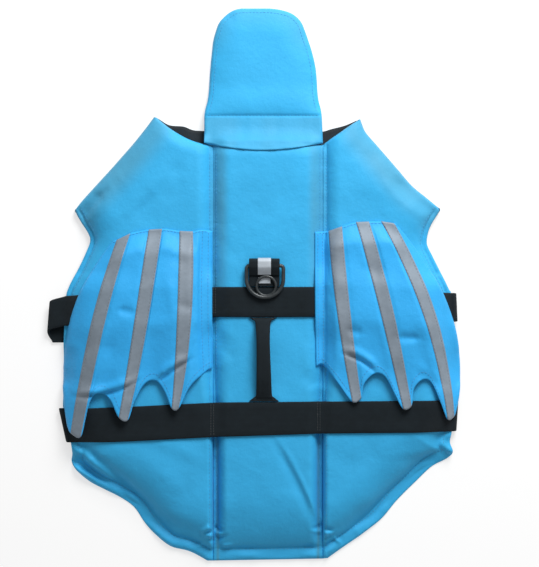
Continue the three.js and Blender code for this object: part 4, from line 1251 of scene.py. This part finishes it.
def wing_quilt(sewn, u, v):
    """The cloth drawn down at the wing's inner seam and under its tapes."""
    quilt = -1.6 * bell(sewn, 1.2, 1.6)
    for start in TAPE_COLUMNS.values():
        quilt = quilt - 1.3 * bell(u, start + 0.5, 0.9) * smooth(v / 0.1)
    return quilt


def wing_waves(seed, x, y, u, v, puff):
    """Waves of the free edge, broad waves, and pulls at the sewn edges."""
    edge = 1.6 * noise_line(u * 7, 9, seed) * smooth((v - 0.72) / 0.28)
    broad = noise_sum(x, y, ((0.9, 34, seed + 1), (0.4, 14, seed + 2)))
    pull = 0.5 * noise_line(y, 9, seed + 3) * bell(u, 1.4, 1.2)
    pull = pull + 0.45 * noise_line(x, 8, seed + 4) * bell(v, 0.0, 0.07)
    return edge + broad * puff + pull


def wing(side, table, belts):
    """A double cloth wing: sewn at its top and inner edges, free and scalloped below."""
    last = len(table) - 1
    across = np.linspace(0, last, last * WING_COLUMN_STEPS + 1)
    down = spaced(WING_GRID_ROWS, 0, 1, (0.002, 0.006, 0.011))
    x, y = wing_points(table, across, down)
    u = across[None, :]
    v = down[:, None]
    base = drape(over_belts(x, y, back_height(x, y), belts) + WING_GAP, WING_PASSES)
    sewn = np.abs(x - x[:, WING_COLUMN_STEPS:WING_COLUMN_STEPS + 1])
    puff, rise = wing_rise(sewn, u, v, last)
    loose = wing_quilt(sewn, u, v) + wing_waves(WING_SEEDS[side], x, y, u, v, puff)
    loose = loose + fold_height(x, y, WING_FOLDS[side])
    low = base + rise + np.maximum(loose, -0.8 * rise - 0.2)
    edge, _ = line_distance(x, y, rim_line(x, y))
    lower = np.stack([x, y, low], 2)
    upper = np.stack([x, y, low + WING * rim_share(edge, *WING_RIM)], 2)
    piece = grid_solid(f"wing_{side}_cloth", lower, upper, [wing_cloth])
    dress(piece, [f"wing_{side}"])
    tapes = [wing_tape(side, name, start, upper) for name, start in TAPE_COLUMNS.items()]
    return upper


def wing_tape(side, name, start, upper):
    """A reflective tape that follows the wing's own points."""
    first = start * WING_COLUMN_STEPS
    strip = upper[:, first:first + WING_COLUMN_STEPS + 1]
    lower = strip + TAPE_GAP * UP
    edge, _ = line_distance(strip[..., 0], strip[..., 1], rim_line(strip[..., 0], strip[..., 1]))
    over = lower + TAPE * rim_share(edge, *TAPE_RIM)[..., None] * UP
    piece = grid_solid(f"tape_{side}_{name}_strip", lower, over, [grey_tape])
    return dress(piece, [f"tape_{side}_{name}"])


# Handle, tab and ring.
def grab_handle():
    """Webbing folded narrow in the middle, arched over a finger gap."""
    rows = curve_at(HANDLE_ROWS, np.linspace(0, len(HANDLE_ROWS) - 1, 90))
    across = spaced(9, -1, 1, (0.03, 0.09))
    x = HANDLE_X + rows[:, 1:2] * across[None, :]
    y = rows[:, 0:1] + 0 * across[None, :]
    x = x + 0.5 * np.sin(y / 23)
    base = drape(back_height(x, y), HANDLE_PASSES) + CLEAR + 0.3 + rows[:, 2:3]
    folded = smooth((12.5 - rows[:, 1:2]) / 3.5)
    edge = (1 - np.abs(across))[None, :] * rows[:, 1:2]
    thick = mix(WEB, HANDLE_THICK, folded) * rim_share(edge, *HANDLE_RIM)
    thick = thick + 0.5 * folded * (1 - across[None, :] ** 2)
    lower = np.stack([x, y, base + 0.35 * folded * across[None, :] ** 4], 2)
    upper = np.stack([x, y, base + thick], 2)
    piece = grid_solid("grab_handle_webbing", lower, upper, [webbing_down])
    dress(piece, ["grab_handle"])
    return upper


def ribbon(name, path, half, thick, material):
    """Webbing of even thickness along a path of (y, z) points round the ring's bar."""
    path = np.asarray(path, float)
    normal = normals(path)
    across = spaced(9, -1, 1, (0.02, 0.06))
    edge = (1 - np.abs(across)) * half
    half_thick = thick / 2 * rim_share(edge, *TAPE_RIM)
    x = TAB_X + half * across[None, :] + 0 * path[:, :1]
    faces = []
    for side in (-1, 1):
        offset = side * half_thick[None, :]
        y = RING_BAR_Y + path[:, :1] + normal[:, :1] * offset
        z = RING_Z + path[:, 1:] + normal[:, 1:] * offset
        faces.append(np.stack([x, y, z], 2))
    return grid_solid(name, faces[0], faces[1], [material])


def tab_path():
    """The tab's middle line: tail, fold, over the ring's bar, and back down to the tail."""
    points = [(TAB_END_Y, -TAB_RADIUS), (-15, -TAB_RADIUS), (-9, -TAB_RADIUS), (-3, -TAB_RADIUS)]
    for degrees in range(-90, 91, 15):
        angle = math.radians(degrees)
        points.append((TAB_FOLD_Y + TAB_RADIUS * math.cos(angle), TAB_RADIUS * math.sin(angle)))
    points += [(TAB_TURN_Y + 1.6, TAB_RADIUS), (TAB_TURN_Y, TAB_RADIUS), *TAB_SLOPE]
    return curve_at(points, np.linspace(0, len(points) - 1, 120))


def ring_tab():
    """The webbing loop and its reflective stripe, on the loop and on the tail inside the ring."""
    path = tab_path()
    tab = ribbon("ring_tab_webbing", path, TAB_HALF, TAB_WEB, webbing_down)
    dress(tab, ["ring_tab"])
    lift = TAB_WEB / 2 + STRIPE_GAP
    outer = path - normals(path) * lift
    first = int(np.argmax(path[:, 0]))
    stripe = ribbon("tab_stripe_tape", outer[first:-2], STRIPE_HALF, TAPE, silver_stripe)
    dress(stripe, ["tab_stripe"])
    tail = [(y, lift - TAB_RADIUS) for y in np.linspace(*STRIPE_TAIL, 12)]
    low_stripe = ribbon("tab_stripe_tail", tail, STRIPE_TAIL_HALF, TAPE, silver_stripe)
    dress(low_stripe, [])


def ring_path():
    """Middle line of the D ring in its own plane, from its bar."""
    path = []

    def arc(cx, cy, radius, start, end, steps):
        for k in range(steps + 1):
            angle = math.radians(mix(start, end, k / steps))
            path.append((cx + radius * math.cos(angle), cy + radius * math.sin(angle)))

    arc(RING_HALF - RING_CORNER, -RING_CORNER, RING_CORNER, 90, 0, 10)
    arc(0, -RING_SIDE, RING_HALF, 0, -180, 64)
    arc(-RING_HALF + RING_CORNER, -RING_CORNER, RING_CORNER, 180, 90, 10)
    return np.array(path)


def closed_tube(path, radius):
    """Points and faces of a round tube along a closed flat path."""
    along = np.roll(path, -1, axis=0) - np.roll(path, 1, axis=0)
    along /= np.linalg.norm(along, axis=1, keepdims=True)
    points = []
    faces = []
    for k in range(len(path)):
        here = k * TUBE_SIDES
        ahead = (k + 1) % len(path) * TUBE_SIDES
        for s in range(TUBE_SIDES):
            angle = 2 * math.pi * s / TUBE_SIDES
            out = radius * math.cos(angle)
            points.append((
                RING_X + path[k, 0] + along[k, 1] * out,
                RING_BAR_Y + path[k, 1] - along[k, 0] * out,
                RING_Z + radius * math.sin(angle),
            ))
            turn = (s + 1) % TUBE_SIDES
            faces.append((here + s, ahead + s, ahead + turn, here + turn))
    return points, faces


def leash_ring():
    """D ring and its eye, joined into one body."""
    points, faces = closed_tube(ring_path(), RING_BAR)
    ring = finish_mesh("leash_ring", points, faces, [ring_metal])
    turns = np.linspace(0, 2 * math.pi, 64, endpoint=False)
    middle = np.array([EYE_X - RING_X, EYE_Y - RING_BAR_Y])
    circle = middle + EYE_RADIUS * np.stack([np.cos(turns), np.sin(turns)], 1)
    points, faces = closed_tube(circle, EYE_BAR)
    eye = finish_mesh("leash_ring_eye", points, faces, [ring_metal])
    union = ring.modifiers.new("union", "BOOLEAN")
    union.operation = "UNION"
    union.solver = "EXACT"
    union.object = eye
    apply_modifiers(ring)
    bpy.data.objects.remove(eye)
    ring.data.polygons.foreach_set("use_smooth", [True] * len(ring.data.polygons))
    dress(ring, ["d_ring"], RING_BODY)


def apply_modifiers(piece):
    """Turns an object's modifiers into its mesh."""
    graph = bpy.context.evaluated_depsgraph_get()
    mesh = bpy.data.meshes.new_from_object(piece.evaluated_get(graph))
    piece.modifiers.clear()
    piece.data = mesh


# Stitching.
class Stitches:
    """Rows of short raised threads, gathered into one mesh."""

    LENGTH = 2.5
    GAP = 1.0
    HALF = 0.26
    # Rings of points along a thread: place on it, width and height, as shares.
    RINGS = ((0.0, 0.35, -0.3), (0.2, 1.0, 0.25), (0.8, 1.0, 0.25), (1.0, 0.35, -0.3))

    def __init__(self):
        self.points = []
        self.faces = []

    def row(self, line, length=None):
        """Stitches along a line of 3D points that already lie on the cloth."""
        line = np.asarray(line, float)
        length = length or self.LENGTH
        whole = lengths(line)[-1]
        start = 0.4
        while start + length < whole:
            self.stitch(*points_at(line, np.array([start, start + length])))
            start += length + self.GAP

    def stitch(self, a, b):
        """One thread from a to b, round and sunk into the cloth at both ends."""
        along = (b - a) / max(np.linalg.norm(b - a), TINY)
        side = np.cross(along, (0, 0, 1))
        side /= max(np.linalg.norm(side), TINY)
        up = np.cross(side, along)
        first = len(self.points)
        for share, scale, rise in self.RINGS:
            middle = a + (b - a) * share + up * self.HALF * rise
            for k in range(6):
                angle = math.pi * k / 3
                offset = side * math.cos(angle) + up * math.sin(angle) * 0.8
                self.points.append(middle + offset * self.HALF * scale)
        for ring in range(3):
            for k in range(6):
                n = first + ring * 6
                self.faces.append((n + k, n + (k + 1) % 6, n + 6 + (k + 1) % 6, n + 6 + k))
        self.faces.append(tuple(first + k for k in range(5, -1, -1)))
        self.faces.append(tuple(first + 18 + k for k in range(6)))

    def build(self, name, material):
        """Makes the rows into one piece."""
        piece = finish_mesh(name, self.points, self.faces, [material])
        dress(piece, [])


def on_back(x, y):
    """Points of a stitched line on the back."""
    x = np.asarray(x, float)
    y = np.asarray(y, float) + 0 * x
    return np.stack([x, y, back_height(x, y) + THREAD_LIFT], 1)


def inward(line, by, toward):
    """A line moved sideways by a distance, towards the side where a point lies."""
    line = np.asarray(line, float)
    normal = normals(line)
    toward = np.asarray(toward) - line.mean(0)
    if (normal * toward).sum() < 0:
        normal = -normal
    return line + normal * by


def dense(line):
    """A line of points at even steps."""
    line = np.asarray(line, float)
    return points_at(line, np.arange(0, lengths(line)[-1], LINE_STEP))


def body_stitches():
    """Seams on both sides, hems and leg edges."""
    rows = Stitches()
    for sign in (-1, 1):
        for offset in (-SEAM_STITCH, SEAM_STITCH):
            y = np.arange(132, -262, -LINE_STEP)
            rows.row(on_back(np.full(y.shape, sign * SEAM_X + offset), y))
    for edges, middle in ((left_edges, (-90, -60)), (right_edges, (90, -60))):
        for kind, by in (("hem", 11.0), ("side", 7.0)):
            rows.row(on_back(*dense(inward(edges[kind], by, middle)).T))
    rows.row(on_back(*dense([(-SEAM_X, -266.5), (SEAM_X, -264.5)]).T))
    rows.build("stitches_body", sky_thread)


def surface_line(surface, x, y):
    """Points of a stitched line on a grid: each at the height of the grid's nearest point."""
    flat = surface.reshape(-1, 3)
    out = []
    for px, py in zip(x, y):
        near = np.argmin((flat[:, 0] - px) ** 2 + (flat[:, 1] - py) ** 2)
        out.append((px, py, flat[near, 2] + THREAD_LIFT))
    return np.array(out)


def flap_stitches(upper):
    """Row across the flap's root and a row round its edge."""
    rows = Stitches()
    x = np.arange(-61, 52, LINE_STEP)
    rows.row(surface_line(upper, x, np.full(x.shape, FLAP_STITCH_Y)))
    edge = curve_at(FLAP_ROWS, np.linspace(4.3, len(FLAP_ROWS) - 1, 60))
    line = np.vstack([edge[:, [1, 0]], edge[::-1, [2, 0]]])
    moved = dense(inward(line, 5.0, (-4, 180)))
    rows.row(surface_line(upper, moved[:, 0], moved[:, 1]))
    rows.build("stitches_flap", sky_thread)


def wing_stitches(side, upper):
    """Top, inner and lower edges of a wing, and both edges of each tape."""
    cloth = Stitches()
    tape = Stitches()
    for line in (upper[4, 4:], upper[4:, WING_COLUMN_STEPS], upper[4:, 3], upper[-9]):
        cloth.row(line + THREAD_LIFT * UP)
    for start in TAPE_COLUMNS.values():
        for column in (start * WING_COLUMN_STEPS + 1, (start + 1) * WING_COLUMN_STEPS - 1):
            tape.row(upper[5:-3, column] + (TAPE_GAP + TAPE) * UP)
    cloth.build(f"stitches_wing_{side}", azure_thread)
    tape.build(f"stitches_tape_{side}", grey_thread)


def belt_stitches(tops, handle):
    """Bars across the belts at the seams, and rows at the handle's ends."""
    rows = Stitches()
    lift = THREAD_LIFT * UP
    for top in tops:
        for seam in (-SEAM_X + 1.5, SEAM_X - 2.5):
            column = int(np.argmin(np.abs(top[5, :, 0] - seam)))
            for offset in (-1, 0):
                rows.row(top[2:-2, column + offset] + lift, SHORT_STITCH)
    for end in (slice(1, 9), slice(-9, -1)):
        for column in (3, -4):
            rows.row(handle[end, column] + lift, SHORT_STITCH)
    rows.build("stitches_webbing", black_thread)


# Build.
side_panel("side_panel_left", LEFT_ROWS)
side_panel("side_panel_right", RIGHT_ROWS)
centre_panel()
chest("left", CHEST_LEFT, lambda x: 0 * x)
chest("right", CHEST_RIGHT, lap_height)
flap_top = head_flap()
upper_top = belt("upper_belt", UPPER_BELT, (12.0, 0.6), 17.0)
lower_top = belt("lower_belt", LOWER_BELT, (0.6, 0.6), 0.0)
belt_tops = (upper_top, lower_top)
wing_tops = {
    "left": wing("left", WING_LEFT, belt_tops),
    "right": wing("right", WING_RIGHT, belt_tops),
}
handle_top = grab_handle()
ring_tab()
leash_ring()
body_stitches()
flap_stitches(flap_top)
for wing_side, wing_top in wing_tops.items():
    wing_stitches(wing_side, wing_top)
belt_stitches(belt_tops, handle_top)


# Floor, light and camera.
FLOOR_GLOW = 0.62
# Half the floor's width and its depth below the part, in metres.
FLOOR_HALF = 3.0
FLOOR_DROP = 0.0004


def floor():
    """The white surface that the jacket lies on."""
    mesh = bpy.data.meshes.new("floor")
    signs = ((-1, -1), (1, -1), (1, 1), (-1, 1))
    corners = [(x * FLOOR_HALF, y * FLOOR_HALF, -FLOOR_DROP) for x, y in signs]
    mesh.from_pydata(corners, [], [(0, 1, 2, 3)])
    piece = bpy.data.objects.new("floor", mesh)
    bpy.context.scene.collection.objects.link(piece)
    material = bpy.data.materials.new("floor")
    material.use_nodes = True
    shader = material.node_tree.nodes["Principled BSDF"]
    shader.inputs["Base Color"].default_value = (0.42, 0.42, 0.42, 1)
    shader.inputs["Roughness"].default_value = 0.9
    shader.inputs["Specular IOR Level"].default_value = 0.0
    shader.inputs["Emission Color"].default_value = (1, 1, 1, 1)
    shader.inputs["Emission Strength"].default_value = FLOOR_GLOW
    mesh.materials.append(material)


WORLD_LIGHT = 0.36
KEY_POWER = 26.0
KEY_SIZE = 0.7
KEY_PLACE = (0.45, 1.1, 0.85)


def lights():
    """Even white light all round, and one broad lamp beyond the neck."""
    world = bpy.data.worlds.new("studio")
    world.use_nodes = True
    background = world.node_tree.nodes["Background"]
    background.inputs["Color"].default_value = (1, 1, 1, 1)
    background.inputs["Strength"].default_value = WORLD_LIGHT
    bpy.context.scene.world = world
    light = bpy.data.lights.new("key", "AREA")
    light.energy = KEY_POWER
    light.size = KEY_SIZE
    lamp = bpy.data.objects.new("key", light)
    lamp.location = KEY_PLACE
    lamp.rotation_euler = (-Vector(KEY_PLACE)).to_track_quat("-Z", "Y").to_euler()
    bpy.context.scene.collection.objects.link(lamp)


# The camera: height of the photograph in pixels, what it looks down on, lens and sensor.
PHOTO_HEIGHT = 567.0
VIEW_MIDDLE = (1.5, 1.5, 14.0)
LENS = 100.0
SENSOR = 36.0


def camera():
    """Straight above, through a long lens: a pixel of the photograph is a millimetre."""
    data = bpy.data.cameras.new("camera")
    data.lens = LENS
    data.sensor_width = SENSOR
    data.sensor_fit = "AUTO"
    view = bpy.data.objects.new("camera", data)
    x, y, z = place(VIEW_MIDDLE)
    view.location = (x, y, z + PHOTO_HEIGHT * LENS / SENSOR * MM)
    view.rotation_euler = (0, 0, 0)
    bpy.context.scene.collection.objects.link(view)
    bpy.context.scene.camera = view
    bpy.context.scene.view_settings.view_transform = "Standard"


floor()
lights()
camera()

bpy.context.view_layer.update()
